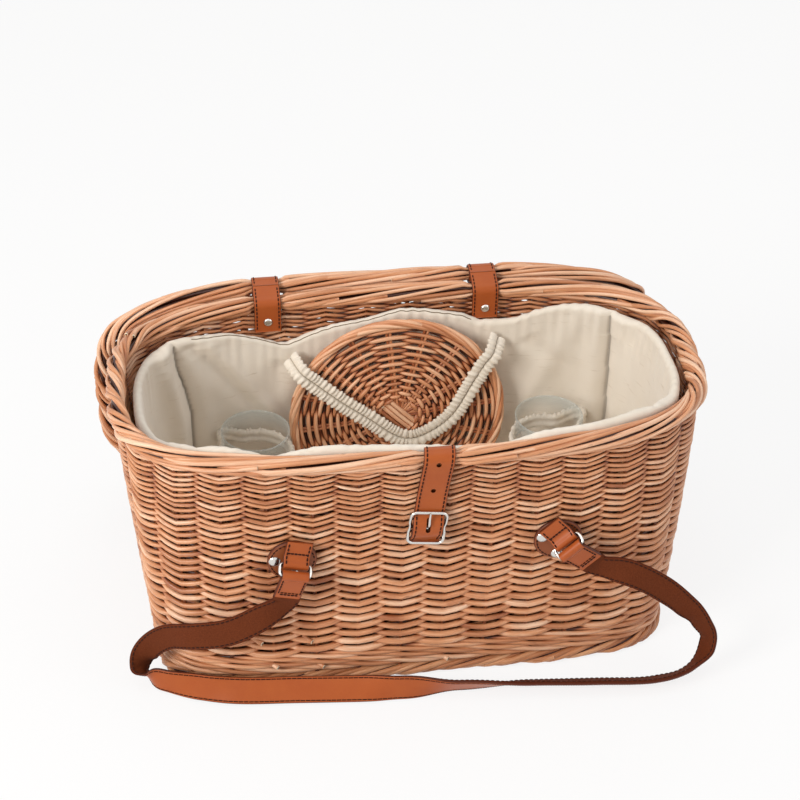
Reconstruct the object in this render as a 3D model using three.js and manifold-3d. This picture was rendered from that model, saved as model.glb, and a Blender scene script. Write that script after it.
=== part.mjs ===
// A willow picnic basket with its lid hanging open behind it.
// Millimetres, +X along the basket, +Y to its back, +Z up; the basket stands on z = 0.
import * as THREE from 'three';
import { mergeVertices } from 'three/addons/utils/BufferGeometryUtils.js';
import Module from 'manifold-3d';

const wasm = await Module();
wasm.setup();

const TURN = Math.PI * 2;
const GAP = 0.3; // the air left between pieces that touch

// Basket body
const RIM_HALF_LENGTH = 245; // to the middle of the rim's rope
const RIM_HALF_DEPTH = 122;
const RIM_POWER = 3.15; // 2 is an ellipse, more is squarer
const RIM_HEIGHT = 241;
const RIM_RADIUS = 8.5;
const RIM_TURNS = 9; // how often the rope's strands go round it
const FOOT_HALF_LENGTH = 222;
const FOOT_HALF_DEPTH = 112;
const FOOT_POWER = 5.6;
const FOOT_RADIUS = 6.4;
const FOOT_TURNS = 13;
const FOOT_FLAT = 0.8; // worn flat where it stands
const WALL_THICKNESS = 6;
const STAKE_COUNT = 34;
const WEAVE_DEPTH = 1.1; // how far the weavers stand out over a stake
const WEAVE_BANDS = 7;
const WALL_SAMPLES = 3; // points round the wall for each stake
const BASE_THICKNESS = 8;
const BASE_STICKS = 15;

// Lid
const LID_HALF_LENGTH = 257;
const LID_HALF_DEPTH = 121;
const LID_POWER = 3.6;
const LID_RADIUS = 8.5;
const LID_TURNS = 9;
const LID_PANEL_THICKNESS = 5;
const LID_DOME = 9;
const LID_STICKS = 18;
const OPEN_BACK = 19.5; // lid rope behind the rim rope when open
const OPEN_RISE = 5; // and above it
const CLOSED_RISE_BACK = 20; // lid rope above the rim rope when shut
const CLOSED_RISE_FRONT = 18.4;

// Leather
const LEATHER = 2.2;
const HINGE_WIDTH = 24;
const HINGE_LEFT_X = -108;
const HINGE_RIGHT_X = 88.5;
const HINGE_TAIL = 25; // how far its tail hangs inside
const HINGE_RIVET_DROP = 15;
const WAIST = 6.2; // a rope's radius where leather holds it in
const CLOSURE_WIDTH = 25.4;
const CLOSURE_THICKNESS = 2.4;
const CLOSURE_TAIL = 12;
const CLOSURE_HOLES = [240, 212]; // heights of the free holes
const HOLE_RADIUS = 2.1;
const BUCKLE_HEIGHT = 176; // height of the centre bar
const BUCKLE_HALF_HEIGHT = 15.6;
const BUCKLE_HALF_WIDTH = 14.9;
const BUCKLE_PINCH = 0.8;
const BUCKLE_WIRE = 1.35;
const BUCKLE_WEB = 1.6; // backing strap that holds the centre bar
const BUCKLE_WEB_LENGTH = 24;
const PRONG_RADIUS = 1.1;

// Shoulder strap and its anchors
const STRAP_WIDTH = 23;
const STRAP_THICKNESS = 3;
const PATCH_RADIUS = 20.5;
const PATCH_THICKNESS = 3;
const ANCHOR_X = 111;
const ANCHOR_HEIGHT = 148;
const ANCHOR_RIVET_RADIUS = 5;
const ANCHOR_RIVET_HEIGHT = 1.4;
const TAB_WIDTH = 22;
const TAB_LENGTH = 20; // up from the ring to the patch's top edge
const RING_WIRE = 1.5;
const RING_DEPTH = 10;
const RING_HALF_WIDTH = 13.4;
const RING_LEAN = 60; // degrees that the ring stands out from the wall
const EYE = 2.0; // the hole of a leather loop round a bar
const END_LENGTH = 24; // the strap's folded and sewn end

// Lining and contents
const LINING_PAD = 8;
const LINING_PUFF = 2.5;
const LINING_LEVELS = [0, 0.45, 0.8, 1];
const LINING_SAMPLES = 64;
const LINING_RIM_CLEAR = 1; // from the rim rope
const LINING_WALL_CLEAR = 1.6; // from the wall
const GLASS_RADIUS = 31;
const GLASS_FOOT_RADIUS = 26.5;
const GLASS_HEIGHT = 115;
const GLASS_WALL = 1.6;
const GLASS_PLACES = { left: [-126, 56], right: [139, 47] };
const LOOP_THICKNESS = 4;
const LOOP_HEIGHT = 13;
const LOOP_DROP = 30; // its middle below the glass's rim
const TRAY_RADIUS = 99.5;
const TRAY_THICKNESS = 7;
const TRAY_ROLL = 4.6; // radius of its rolled edge
const TRAY_LEAN = 5; // degrees that it leans back
const TRAY_X = 6;
const TRAY_Y = 84;
const TRAY_STAKES = 16;
const BAND_WIDTH = 14;
const BAND_THICKNESS = 4;
const BAND_RUFFLE = 0.7;

const colour = {
  willow: 0xcf9a68, darkWillow: 0xb98252, leather: 0xa8592f, cotton: 0xd9cfb8, steel: 0xc9ccd0,
  glass: 0xe8f2f2,
};

/** A superellipse outline, with points spread evenly along its length. */
class Plan {
  constructor(halfLength, halfDepth, power) {
    this.a = halfLength;
    this.b = halfDepth;
    this.n = power;
    this.table = [[0, ...this.corner(0)]];
    for (let i = 1; i <= 720; i++) {
      const [x, y] = this.corner((i / 720) * TURN);
      const [run, px, py] = this.table[i - 1];
      this.table.push([run + Math.hypot(x - px, y - py), x, y]);
    }
    this.length = this.table[720][0];
  }

  corner(t) {
    const c = Math.cos(t);
    const s = Math.sin(t);
    const r = (Math.abs(c / this.a) ** this.n + Math.abs(s / this.b) ** this.n) ** (-1 / this.n);
    return [r * c, r * s];
  }

  at(u) {
    const want = (u - Math.floor(u)) * this.length;
    let low = 0;
    let high = 720;
    while (high - low > 1) {
      const middle = (low + high) >> 1;
      if (this.table[middle][0] <= want) low = middle;
      else high = middle;
    }
    const [run, x0, y0] = this.table[low];
    const [next, x1, y1] = this.table[high];
    const f = (want - run) / (next - run);
    const x = x0 + (x1 - x0) * f;
    const y = y0 + (y1 - y0) * f;
    const nx = Math.sign(x) * Math.abs(x / this.a) ** (this.n - 1) / this.a;
    const ny = Math.sign(y) * Math.abs(y / this.b) ** (this.n - 1) / this.b;
    const size = Math.hypot(nx, ny);
    return { x, y, nx: nx / size, ny: ny / size };
  }

  /** The share of the outline at which a side, front (-1) or back (1), passes x. */
  find(x, side) {
    let best = 0;
    let miss = Infinity;
    for (const [run, px, py] of this.table) {
      if (Math.sign(py) === side && Math.abs(px - x) < miss) {
        miss = Math.abs(px - x);
        best = run + Math.abs(px - x) * (px > x ? side : -side);
      }
    }
    return best / this.length;
  }

  /** Half the depth at x. */
  depthAt(x) {
    return this.b * Math.max(0, 1 - Math.abs(x / this.a) ** this.n) ** (1 / this.n);
  }

  inset(by) {
    return new Plan(this.a - by, this.b - by, this.n);
  }
}

const mix = (a, b, t) => a + (b - a) * t;
const smooth = (t) => t * t * (3 - 2 * t);
const radians = (degrees) => (degrees * Math.PI) / 180;

/** A closed solid from rings of points: round and round, or a bar with capped ends. */
function gridSolid(rings, closed) {
  const positions = rings.flat(2);
  const across = rings[0].length;
  const index = [];
  const last = closed ? rings.length : rings.length - 1;
  for (let i = 0; i < last; i++) {
    const k = (i + 1) % rings.length;
    for (let j = 0; j < across; j++) {
      const m = (j + 1) % across;
      const [a, b, c, d] = [i * across + j, k * across + j, k * across + m, i * across + m];
      index.push(a, b, c, a, c, d);
    }
  }
  if (!closed) {
    for (const [ring, first] of [[rings[0], 0], [rings[rings.length - 1], (rings.length - 1) * across]]) {
      const middle = positions.length / 3;
      for (let k = 0; k < 3; k++) positions.push(ring.reduce((sum, p) => sum + p[k], 0) / across);
      for (let j = 0; j < across; j++) {
        const m = (j + 1) % across;
        if (first === 0) index.push(middle, first + j, first + m);
        else index.push(middle, first + m, first + j);
      }
    }
  }
  let volume = 0;
  const at = (i) => new THREE.Vector3(...positions.slice(i * 3, i * 3 + 3));
  for (let i = 0; i < index.length; i += 3) {
    volume += at(index[i]).dot(at(index[i + 1]).cross(at(index[i + 2])));
  }
  if (volume < 0) index.reverse();
  const geometry = new THREE.BufferGeometry();
  geometry.setAttribute('position', new THREE.Float32BufferAttribute(positions, 3));
  geometry.setIndex(index);
  return geometry;
}

/** Rings of one rope border; its strands twist round and leather waists hold it in. */
function rope(plan, z, radius, strands, turns, steps, waists) {
  const around = strands * 3;
  const stops = [];
  for (let i = 0; i < steps; i++) stops.push(i / steps);
  const held = waists.map(([x, y, width]) => {
    const side = Math.sign(y);
    const u = plan.find(x, side);
    const half = (width / 2 + 1) / plan.length;
    const ease = 3 / plan.length;
    return { u, half, ease, side, y };
  });
  const clear = stops.filter((u) => held.every((w) => Math.abs(u - w.u) > w.half + w.ease + 0.002));
  for (const w of held) clear.push(w.u - w.half - w.ease, w.u - w.half, w.u, w.u + w.half, w.u + w.half + w.ease);
  clear.sort((a, b) => a - b);
  return gridSolid(clear.map((u) => {
    const tight = held.find((w) => Math.abs(u - w.u) <= w.half + 1e-9);
    const spot = plan.at(u);
    const { x, y, nx, ny } = tight ? { x: spot.x, y: tight.y, nx: 0, ny: tight.side } : spot;
    return Array.from({ length: around }, (_, j) => {
      const angle = (j / around + turns * u) * TURN;
      const crest = tight ? WAIST : radius;
      const r = j % 3 === 0 ? crest * (tight ? 0.95 : 0.82) : crest;
      const out = r * Math.cos(angle);
      return [x + nx * out, y + ny * out, z + r * Math.sin(angle)];
    });
  }), true);
}

/** A solid for joining and cutting. */
function solid(geometry) {
  const bare = geometry.clone();
  bare.deleteAttribute('normal');
  bare.deleteAttribute('uv');
  const merged = mergeVertices(bare, 1e-4);
  return new wasm.Manifold(new wasm.Mesh({
    numProp: 3,
    vertProperties: new Float32Array(merged.attributes.position.array),
    triVerts: new Uint32Array(merged.index.array),
  }));
}

function geometryOf(manifold) {
  const mesh = manifold.getMesh();
  const geometry = new THREE.BufferGeometry();
  geometry.setAttribute('position', new THREE.BufferAttribute(mesh.vertProperties, 3));
  geometry.setIndex(new THREE.BufferAttribute(mesh.triVerts, 1));
  return geometry;
}

const join = (...parts) => geometryOf(parts.map(solid).reduce((a, b) => a.add(b)));
const cut = (body, ...tools) => geometryOf(tools.map(solid).reduce((a, b) => a.subtract(b), solid(body)));

/** An outline in (y, z) given a width along x. */
function acrossX(shape, width, x = 0) {
  const geometry = new THREE.ExtrudeGeometry(shape, { depth: width, bevelEnabled: false, curveSegments: 10 });
  geometry.translate(0, 0, -width / 2);
  geometry.applyMatrix4(new THREE.Matrix4().makeBasis(
    new THREE.Vector3(0, 1, 0), new THREE.Vector3(0, 0, 1), new THREE.Vector3(1, 0, 0),
  ));
  return geometry.translate(x, 0, 0);
}

/** The outline of a strip of leather that follows points in (y, z). */
function stripShape(points, thickness, samples = 0) {
  const line = samples
    ? new THREE.SplineCurve(points.map((p) => new THREE.Vector2(...p))).getPoints(samples)
    : points.map((p) => new THREE.Vector2(...p));
  const left = [];
  const right = [];
  line.forEach((p, i) => {
    const before = line[Math.max(0, i - 1)];
    const after = line[Math.min(line.length - 1, i + 1)];
    const along = after.clone().sub(before).normalize();
    const side = new THREE.Vector2(-along.y, along.x).multiplyScalar(thickness / 2);
    left.push(p.clone().add(side));
    right.push(p.clone().sub(side));
  });
  return new THREE.Shape([...left, ...right.reverse()]);
}

function eyeShape(y, z, inner, outer) {
  const shape = new THREE.Shape().absarc(y, z, outer, 0, TURN, false);
  shape.holes.push(new THREE.Path().absarc(y, z, inner, 0, TURN, true));
  return shape;
}

/** A round bar through x, y or z. */
function bar(radius, length, axis, [x, y, z], sides = 16) {
  const geometry = new THREE.CylinderGeometry(radius, radius, length, sides);
  if (axis === 'x') geometry.rotateZ(Math.PI / 2);
  if (axis === 'z') geometry.rotateX(Math.PI / 2);
  return geometry.translate(x, y, z);
}

/** A wire along a closed or open run of points. */
function wire(points, radius, closed, sides = 8) {
  const curve = new THREE.CatmullRomCurve3(points.map((p) => new THREE.Vector3(...p)), closed, 'centripetal');
  const steps = points.length * 2;
  const frames = curve.computeFrenetFrames(steps, closed);
  const rings = [];
  for (let i = 0; i < (closed ? steps : steps + 1); i++) {
    const p = curve.getPointAt(i / steps);
    rings.push(Array.from({ length: sides }, (_, j) => {
      const angle = (j / sides) * TURN;
      return p.clone()
        .addScaledVector(frames.normals[i], Math.cos(angle) * radius)
        .addScaledVector(frames.binormals[i], Math.sin(angle) * radius)
        .toArray();
    }));
  }
  return gridSolid(rings, closed);
}

/** A tubular rivet: domed head outside, shank, washer behind; its axis is y, the head at -y. */
function rivet(headRadius, headHeight, grip, washerRadius, shank) {
  const profile = [[0, 0]];
  for (let i = 1; i <= 3; i++) {
    const t = (i / 3) * Math.PI / 2;
    profile.push([headRadius * Math.sin(t), headHeight * (1 - Math.cos(t))]);
  }
  const back = headHeight + grip;
  profile.push([shank, headHeight], [shank, back], [washerRadius, back], [washerRadius, back + 1], [0, back + 1]);
  const geometry = new THREE.LatheGeometry(profile.map((p) => new THREE.Vector2(...p)), 12);
  return tidy(geometry).translate(0, -headHeight, 0);
}

/** Merges a lathe's seam and its points on the axis, and drops the faces that close up. */
function tidy(geometry) {
  const bare = geometry.clone();
  bare.deleteAttribute('normal');
  bare.deleteAttribute('uv');
  const merged = mergeVertices(bare, 1e-4);
  const kept = [];
  const index = merged.index.array;
  for (let i = 0; i < index.length; i += 3) {
    const [a, b, c] = [index[i], index[i + 1], index[i + 2]];
    if (a !== b && b !== c && a !== c) kept.push(a, b, c);
  }
  merged.setIndex(kept);
  return outward(merged);
}

function outward(geometry) {
  const p = geometry.attributes.position;
  const index = [...geometry.index.array];
  const at = (i) => new THREE.Vector3().fromBufferAttribute(p, i);
  let volume = 0;
  for (let i = 0; i < index.length; i += 3) {
    volume += at(index[i]).dot(at(index[i + 1]).cross(at(index[i + 2])));
  }
  if (volume < 0) geometry.setIndex(index.reverse());
  return geometry;
}

const model = new THREE.Group();
model.name = 'picnic_basket';

function piece(name, geometry, hex, roughness, metalness = 0, parent = model) {
  const material = new THREE.MeshStandardMaterial({ color: hex, roughness, metalness });
  if (hex === colour.glass) Object.assign(material, { transparent: true, opacity: 0.35 });
  const mesh = new THREE.Mesh(geometry, material);
  mesh.name = name;
  parent.add(mesh);
  return mesh;
}

// Body: plans at any height, from the foot to the rim
const rimPlan = new Plan(RIM_HALF_LENGTH, RIM_HALF_DEPTH, RIM_POWER);
const footPlan = new Plan(FOOT_HALF_LENGTH, FOOT_HALF_DEPTH, FOOT_POWER);
const footTop = FOOT_RADIUS * 2 - FOOT_FLAT;
const wallBottom = footTop + GAP;
const wallTop = RIM_HEIGHT - RIM_RADIUS - GAP;
const rise = (z) => (z - wallBottom) / (RIM_HEIGHT - wallBottom);

function bodyPlan(z, inset = 0) {
  const t = rise(z);
  const a = mix(FOOT_HALF_LENGTH, RIM_HALF_LENGTH, t) - inset;
  const b = mix(FOOT_HALF_DEPTH, RIM_HALF_DEPTH, t) - inset;
  return new Plan(a, b, mix(FOOT_POWER, RIM_POWER, t));
}

const wallFront = (z) => -(bodyPlan(z).b + WALL_THICKNESS / 2 + WEAVE_DEPTH);
const wallSlope = Math.atan((RIM_HALF_DEPTH - FOOT_HALF_DEPTH) / (RIM_HEIGHT - wallBottom));

const hinges = [['left', HINGE_LEFT_X], ['right', HINGE_RIGHT_X]];
const hingeDepth = (plan) => (plan.depthAt(HINGE_LEFT_X) + plan.depthAt(HINGE_RIGHT_X)) / 2;
const hingeY = hingeDepth(rimPlan);
const CLOSURE_WAIST = CLOSURE_WIDTH + 3;
const closureX = (z) => mix(-1.5, 2.5, (z - BUCKLE_HEIGHT) / (RIM_HEIGHT - BUCKLE_HEIGHT));

piece('rim_border', rope(
  rimPlan, RIM_HEIGHT, RIM_RADIUS, 4, RIM_TURNS, 66,
  [...hinges.map(([, x]) => [x, hingeY, HINGE_WIDTH]), [closureX(RIM_HEIGHT), -RIM_HALF_DEPTH, CLOSURE_WAIST]],
), colour.willow, 0.6);

const ground = new THREE.BoxGeometry(RIM_HALF_LENGTH * 3, RIM_HALF_DEPTH * 3, FOOT_RADIUS)
  .translate(0, 0, FOOT_FLAT - FOOT_RADIUS / 2);
piece('foot_border', cut(
  rope(footPlan, FOOT_RADIUS, FOOT_RADIUS, 3, FOOT_TURNS, 62, []), ground,
).translate(0, 0, -FOOT_FLAT), colour.darkWillow, 0.65);

/** The wall's surface at one height: weavers go outside one stake and inside the next. */
function wallRing(z, side, band) {
  const plan = bodyPlan(z);
  const samples = STAKE_COUNT * WALL_SAMPLES;
  return Array.from({ length: samples }, (_, i) => {
    const { x, y, nx, ny } = plan.at(i / samples);
    const wave = WEAVE_DEPTH * Math.cos((i / WALL_SAMPLES) * Math.PI + band * Math.PI);
    const out = side * (WALL_THICKNESS / 2) + (side > 0 ? wave : 0);
    return [x + nx * out, y + ny * out, z];
  });
}

const wallRings = [];
for (let band = 0; band <= WEAVE_BANDS; band++) {
  wallRings.push(wallRing(mix(wallBottom, wallTop, band / WEAVE_BANDS), 1, band));
}
for (const t of [1, 0]) wallRings.push(wallRing(mix(wallBottom, wallTop, t), -1, 0));
// A slot under the rim lets each hinge strap through.
const slots = hinges.map(([, x]) => new THREE.BoxGeometry(HINGE_WIDTH + 2, 30, 14)
  .translate(x, hingeY, wallTop + 7 - 3.2));
piece('wall_weave', cut(gridSolid(wallRings, true), ...slots), colour.willow, 0.62);

/** A woven board in a plan: sticks one way, weavers waving over and under them. */
function wovenBoard(plan, low, high, sticks, wave, lift) {
  const nx = sticks * 2;
  const ny = 6;
  const row = (j, z, sign) => Array.from({ length: nx + 1 }, (_, i) => {
    const x = -plan.a * Math.cos((i / nx) * Math.PI) * 0.985;
    const y = plan.depthAt(x) * mix(-1, 1, j / ny);
    const edge = i === 0 || i === nx || j === 0 || j === ny;
    const dome = lift * (1 - (x / plan.a) ** 2) * (1 - (y / plan.b) ** 2);
    return [x, y, z + dome + (edge ? 0 : sign * wave * (((i + j) % 2) * 2 - 1))];
  });
  const top = Array.from({ length: ny + 1 }, (_, j) => row(j, high, 1));
  const under = Array.from({ length: ny + 1 }, (_, j) => row(j, low, 1));
  const positions = [...top.flat(), ...under.flat()];
  const w = nx + 1;
  const at = (layer, j, i) => layer * w * (ny + 1) + j * w + i;
  const index = [];
  const quad = (a, b, c, d) => index.push(a, b, c, a, c, d);
  for (let j = 0; j < ny; j++) {
    for (let i = 0; i < nx; i++) {
      quad(at(0, j, i), at(0, j, i + 1), at(0, j + 1, i + 1), at(0, j + 1, i));
      quad(at(1, j, i), at(1, j + 1, i), at(1, j + 1, i + 1), at(1, j, i + 1));
    }
  }
  for (let i = 0; i < nx; i++) {
    quad(at(1, 0, i), at(1, 0, i + 1), at(0, 0, i + 1), at(0, 0, i));
    quad(at(1, ny, i + 1), at(1, ny, i), at(0, ny, i), at(0, ny, i + 1));
  }
  for (let j = 0; j < ny; j++) {
    quad(at(1, j + 1, 0), at(1, j, 0), at(0, j, 0), at(0, j + 1, 0));
    quad(at(1, j, nx), at(1, j + 1, nx), at(0, j + 1, nx), at(0, j, nx));
  }
  const geometry = new THREE.BufferGeometry();
  geometry.setAttribute('position', new THREE.Float32BufferAttribute(positions.flat(), 3));
  geometry.setIndex(index);
  return outward(geometry);
}

const baseTop = wallBottom + BASE_THICKNESS;
piece('base_weave', wovenBoard(
  bodyPlan(wallBottom, WALL_THICKNESS / 2 + GAP), wallBottom, baseTop, BASE_STICKS, 0.8, 0,
), colour.darkWillow, 0.65);

// Hinge straps: a loop round the rim's rope and a tail inside, riveted through
const looseRing = WAIST + GAP;
const loopOuter = looseRing + LEATHER;
const foldY = OPEN_BACK / 2;
const foldZ = (OPEN_RISE + CLOSED_RISE_BACK) / 2;

/** The strip from a loop's top to the fold, its upper face on the fold's line. */
function foldStrip(centre, upper) {
  const from = new THREE.Vector2(...centre);
  const fold = new THREE.Vector2(foldY, foldZ);
  const reach = fold.clone().sub(from);
  const middle = looseRing + LEATHER / 2;
  const turn = reach.angle() + upper * Math.acos(middle / reach.length());
  const tangent = from.clone().add(new THREE.Vector2(Math.cos(turn), Math.sin(turn)).multiplyScalar(middle));
  const along = fold.clone().sub(tangent).normalize();
  const up = new THREE.Vector2(-along.y, along.x);
  if (up.y < 0) up.negate();
  const drop = up.multiplyScalar(-(LEATHER / 2 + GAP / 2));
  const end = fold.clone().add(drop).addScaledVector(along, -0.5);
  return stripShape([tangent.toArray(), end.toArray()], LEATHER);
}

const tailY = -(looseRing + LEATHER / 2);
for (const [side, x] of hinges) {
  const tailDrop = Math.min(HINGE_TAIL, HINGE_RIVET_DROP + 11);
  const strap = join(
    acrossX(eyeShape(0, 0, looseRing, loopOuter), HINGE_WIDTH),
    acrossX(foldStrip([0, 0], 1), HINGE_WIDTH),
    acrossX(stripShape([[tailY, 0], [tailY, -tailDrop]], LEATHER), HINGE_WIDTH),
  ).translate(x, hingeY, RIM_HEIGHT);
  const rivetAt = [x, hingeY + tailY, RIM_HEIGHT - HINGE_RIVET_DROP];
  const face = -LEATHER / 2 - GAP;
  piece(`hinge_strap_${side}`, cut(strap, bar(1.5 + GAP, LEATHER * 3, 'y', rivetAt)), colour.leather, 0.5);
  piece(`hinge_rivet_${side}`, rivet(4, 1.8, LEATHER + GAP * 2, 3, 1.5).translate(
    rivetAt[0], rivetAt[1] + face, rivetAt[2],
  ), colour.steel, 0.25, 1);
}

// Lid side of each hinge: a loop round the lid's rope, folding where the strips meet
for (const [side, x] of hinges) {
  const loop = join(
    acrossX(eyeShape(OPEN_BACK, OPEN_RISE, looseRing, loopOuter), HINGE_WIDTH),
    acrossX(foldStrip([OPEN_BACK, OPEN_RISE], -1), HINGE_WIDTH),
  ).translate(x, hingeY, RIM_HEIGHT);
  piece(`hinge_loop_${side}`, loop, colour.leather, 0.5);
}

// Lid, built shut and level with its back rope on the origin, then turned open
// until its front edge stands on the floor, or plumb if it doesn't reach that far
const lidPlan = new Plan(LID_HALF_LENGTH, LID_HALF_DEPTH, LID_POWER);
const lidMiddle = hingeDepth(lidPlan);
const lidReach = lidMiddle + LID_HALF_DEPTH;
const lidDrop = RIM_HEIGHT + OPEN_RISE - LID_RADIUS;
const lidHang = lidReach > lidDrop ? Math.asin(lidDrop / lidReach) : TURN / 4;
const lidTilt = Math.asin((CLOSED_RISE_BACK - CLOSED_RISE_FRONT) / lidReach);
const lid = new THREE.Group();
lid.position.set(0, hingeY + OPEN_BACK, RIM_HEIGHT + OPEN_RISE);
lid.rotation.x = Math.PI - lidHang;
model.add(lid);
piece('lid_border', rope(
  lidPlan, 0, LID_RADIUS, 4, LID_TURNS, 66, hinges.map(([, x]) => [x, lidMiddle, HINGE_WIDTH]),
).translate(0, -lidMiddle, 0), colour.willow, 0.6, 0, lid);
const lidNotches = hinges.map(([, x]) => new THREE.BoxGeometry(HINGE_WIDTH + 2, 12, 40)
  .translate(x, lidMiddle - loopOuter - GAP * 2 + 6, 0));
piece('lid_panel', cut(wovenBoard(
  lidPlan.inset(LID_RADIUS + GAP), -LID_PANEL_THICKNESS / 2, LID_PANEL_THICKNESS / 2, LID_STICKS, 0.8, LID_DOME,
), ...lidNotches).translate(0, -lidMiddle, 0), colour.darkWillow, 0.65, 0, lid);

// Closure strap: over the rim's front, down the wall and through the buckle
const wireGap = BUCKLE_WIRE + GAP + CLOSURE_THICKNESS / 2;
const webTop = BUCKLE_HEIGHT + BUCKLE_WEB_LENGTH / 2;
const webFront = wallFront(webTop) - GAP - BUCKLE_WEB;
const webEye = BUCKLE_WIRE * 0.85 + GAP;
const webLoopOuter = webEye + BUCKLE_WEB * 0.6;
const overBar = webLoopOuter + GAP + CLOSURE_THICKNESS / 2;
const barY = webFront - GAP - BUCKLE_WIRE - 1.6 - GAP;
const frontLoop = looseRing + CLOSURE_THICKNESS / 2;
const rimFront = -RIM_HALF_DEPTH;
const topBarY = barY - 1.2;
const arc = [];
for (let degrees = 0; degrees <= 180; degrees += 20) {
  const t = radians(degrees);
  arc.push([rimFront + frontLoop * Math.cos(t), RIM_HEIGHT + frontLoop * Math.sin(t)]);
}
const closureBend = RIM_HEIGHT - 19;
const closureRest = (webTop + closureBend) / 2;
const closureLine = [
  [rimFront + frontLoop, RIM_HEIGHT - CLOSURE_TAIL],
  ...arc,
  [wallFront(closureBend) - 2.6, closureBend],
  [wallFront(closureRest) - GAP - CLOSURE_THICKNESS / 2 - 0.6, closureRest],
  [topBarY + wireGap + 0.2, BUCKLE_HEIGHT + BUCKLE_HALF_HEIGHT + 2.5],
  [topBarY + wireGap + 0.3, BUCKLE_HEIGHT + BUCKLE_HALF_HEIGHT - 2],
  [barY - overBar + 0.6, BUCKLE_HEIGHT + 5],
  [barY - overBar, BUCKLE_HEIGHT + 2],
  [barY - overBar, BUCKLE_HEIGHT - 2],
  [barY - overBar + 0.6, BUCKLE_HEIGHT - 5],
  [topBarY + wireGap + 0.3, BUCKLE_HEIGHT - BUCKLE_HALF_HEIGHT + 2],
  [topBarY + wireGap + 0.2, BUCKLE_HEIGHT - BUCKLE_HALF_HEIGHT - 2.5],
  [topBarY + wireGap - 0.2, BUCKLE_HEIGHT - BUCKLE_HALF_HEIGHT - 6],
];
const closure = new THREE.Group();
closure.position.set(closureX(BUCKLE_HEIGHT), 0, BUCKLE_HEIGHT);
model.add(closure);
const leaned = ([y, z]) => [y, z - BUCKLE_HEIGHT];
const closureBody = acrossX(stripShape(closureLine.map(leaned), CLOSURE_THICKNESS), CLOSURE_WIDTH);
const punches = CLOSURE_HOLES.map((z) => bar(HOLE_RADIUS, 16, 'y', [0, wallFront(z), z - BUCKLE_HEIGHT], 12));
const prongSlot = new THREE.BoxGeometry(PRONG_RADIUS * 2 + 1.4, 30, 14).translate(0, barY - 10, 3.6);
// Above the buckle the strap leans to one side on its way to the rim.
const closureShape = cut(closureBody, ...punches, prongSlot);
const closurePoints = closureShape.attributes.position;
const leanFrom = BUCKLE_HALF_HEIGHT + 2;
for (let i = 0; i < closurePoints.count; i++) {
  const up = Math.min(RIM_HEIGHT - BUCKLE_HEIGHT, Math.max(leanFrom, closurePoints.getZ(i))) - leanFrom;
  const lean = (closureX(RIM_HEIGHT) - closureX(BUCKLE_HEIGHT)) / (RIM_HEIGHT - BUCKLE_HEIGHT - leanFrom);
  closurePoints.setX(i, closurePoints.getX(i) + up * lean);
}
piece('closure_strap', closureShape, colour.leather, 0.5, 0, closure);

/** The buckle's outline: side bars pinched in at the centre bar. */
function buckleOutline() {
  const points = [];
  const w = BUCKLE_HALF_WIDTH;
  const h = BUCKLE_HALF_HEIGHT;
  const corner = 3.2;
  const add = (x, z) => points.push([x, z === 0 ? barY : topBarY, z]);
  add(-w + BUCKLE_PINCH, 0);
  points.push([-w, mix(barY, topBarY, 0.6), h * 0.55], [-w, topBarY, h - corner], [-w + corner, topBarY, h]);
  points.push([0, topBarY, h], [w - corner, topBarY, h], [w, topBarY, h - corner]);
  points.push([w, mix(barY, topBarY, 0.6), h * 0.55]);
  add(w - BUCKLE_PINCH, 0);
  points.push([w, mix(barY, topBarY, 0.6), -h * 0.55], [w, topBarY, corner - h], [w - corner, topBarY, -h]);
  points.push([0, topBarY, -h], [corner - w, topBarY, -h], [-w, topBarY, corner - h]);
  points.push([-w, mix(barY, topBarY, 0.6), -h * 0.55]);
  return points;
}

const centreBar = bar(BUCKLE_WIRE * 0.85, (BUCKLE_HALF_WIDTH - BUCKLE_PINCH) * 2, 'x', [0, barY, 0], 10);
piece('buckle_frame', join(
  wire(buckleOutline(), BUCKLE_WIRE, true, 7), centreBar,
), colour.steel, 0.2, 1, closure);

const prongEye = BUCKLE_WIRE * 0.85 + 0.1;
const prongTip = BUCKLE_HALF_HEIGHT + 2.2;
const prongShank = stripShape([
  [barY - prongEye - 0.9, 0.8], [barY - overBar - 2.6, 6], [topBarY - BUCKLE_WIRE - PRONG_RADIUS - 0.5, 12],
  [topBarY - BUCKLE_WIRE - PRONG_RADIUS - GAP, prongTip],
], PRONG_RADIUS * 1.8, 8);
piece('buckle_prong', join(
  acrossX(eyeShape(barY, 0, prongEye, prongEye + 1.3), PRONG_RADIUS * 2),
  acrossX(prongShank, PRONG_RADIUS * 2),
), colour.steel, 0.2, 1, closure);

// The backing strap loops round the centre bar beside the prong and lies on the wall
const webLoop = acrossX(eyeShape(barY, 0, webEye, webLoopOuter), CLOSURE_WIDTH - 4);
const webSheet = acrossX(stripShape([
  [webFront + BUCKLE_WEB / 2, BUCKLE_WEB_LENGTH / 2],
  [webFront + BUCKLE_WEB / 2 + (BUCKLE_WEB_LENGTH) * Math.tan(wallSlope), -BUCKLE_WEB_LENGTH / 2],
], BUCKLE_WEB), CLOSURE_WIDTH - 4);
const webNeck = acrossX(stripShape([[barY + webEye + 0.3, 0], [webFront + BUCKLE_WEB, 0]], 3), CLOSURE_WIDTH - 4);
const webGap = new THREE.BoxGeometry(PRONG_RADIUS * 2 + 1.2, webEye * 2 + 6, 9)
  .translate(0, barY - 1.2, 0);
piece('buckle_backing', cut(join(webLoop, webSheet, webNeck), webGap), colour.leather, 0.55, 0, closure);

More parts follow.
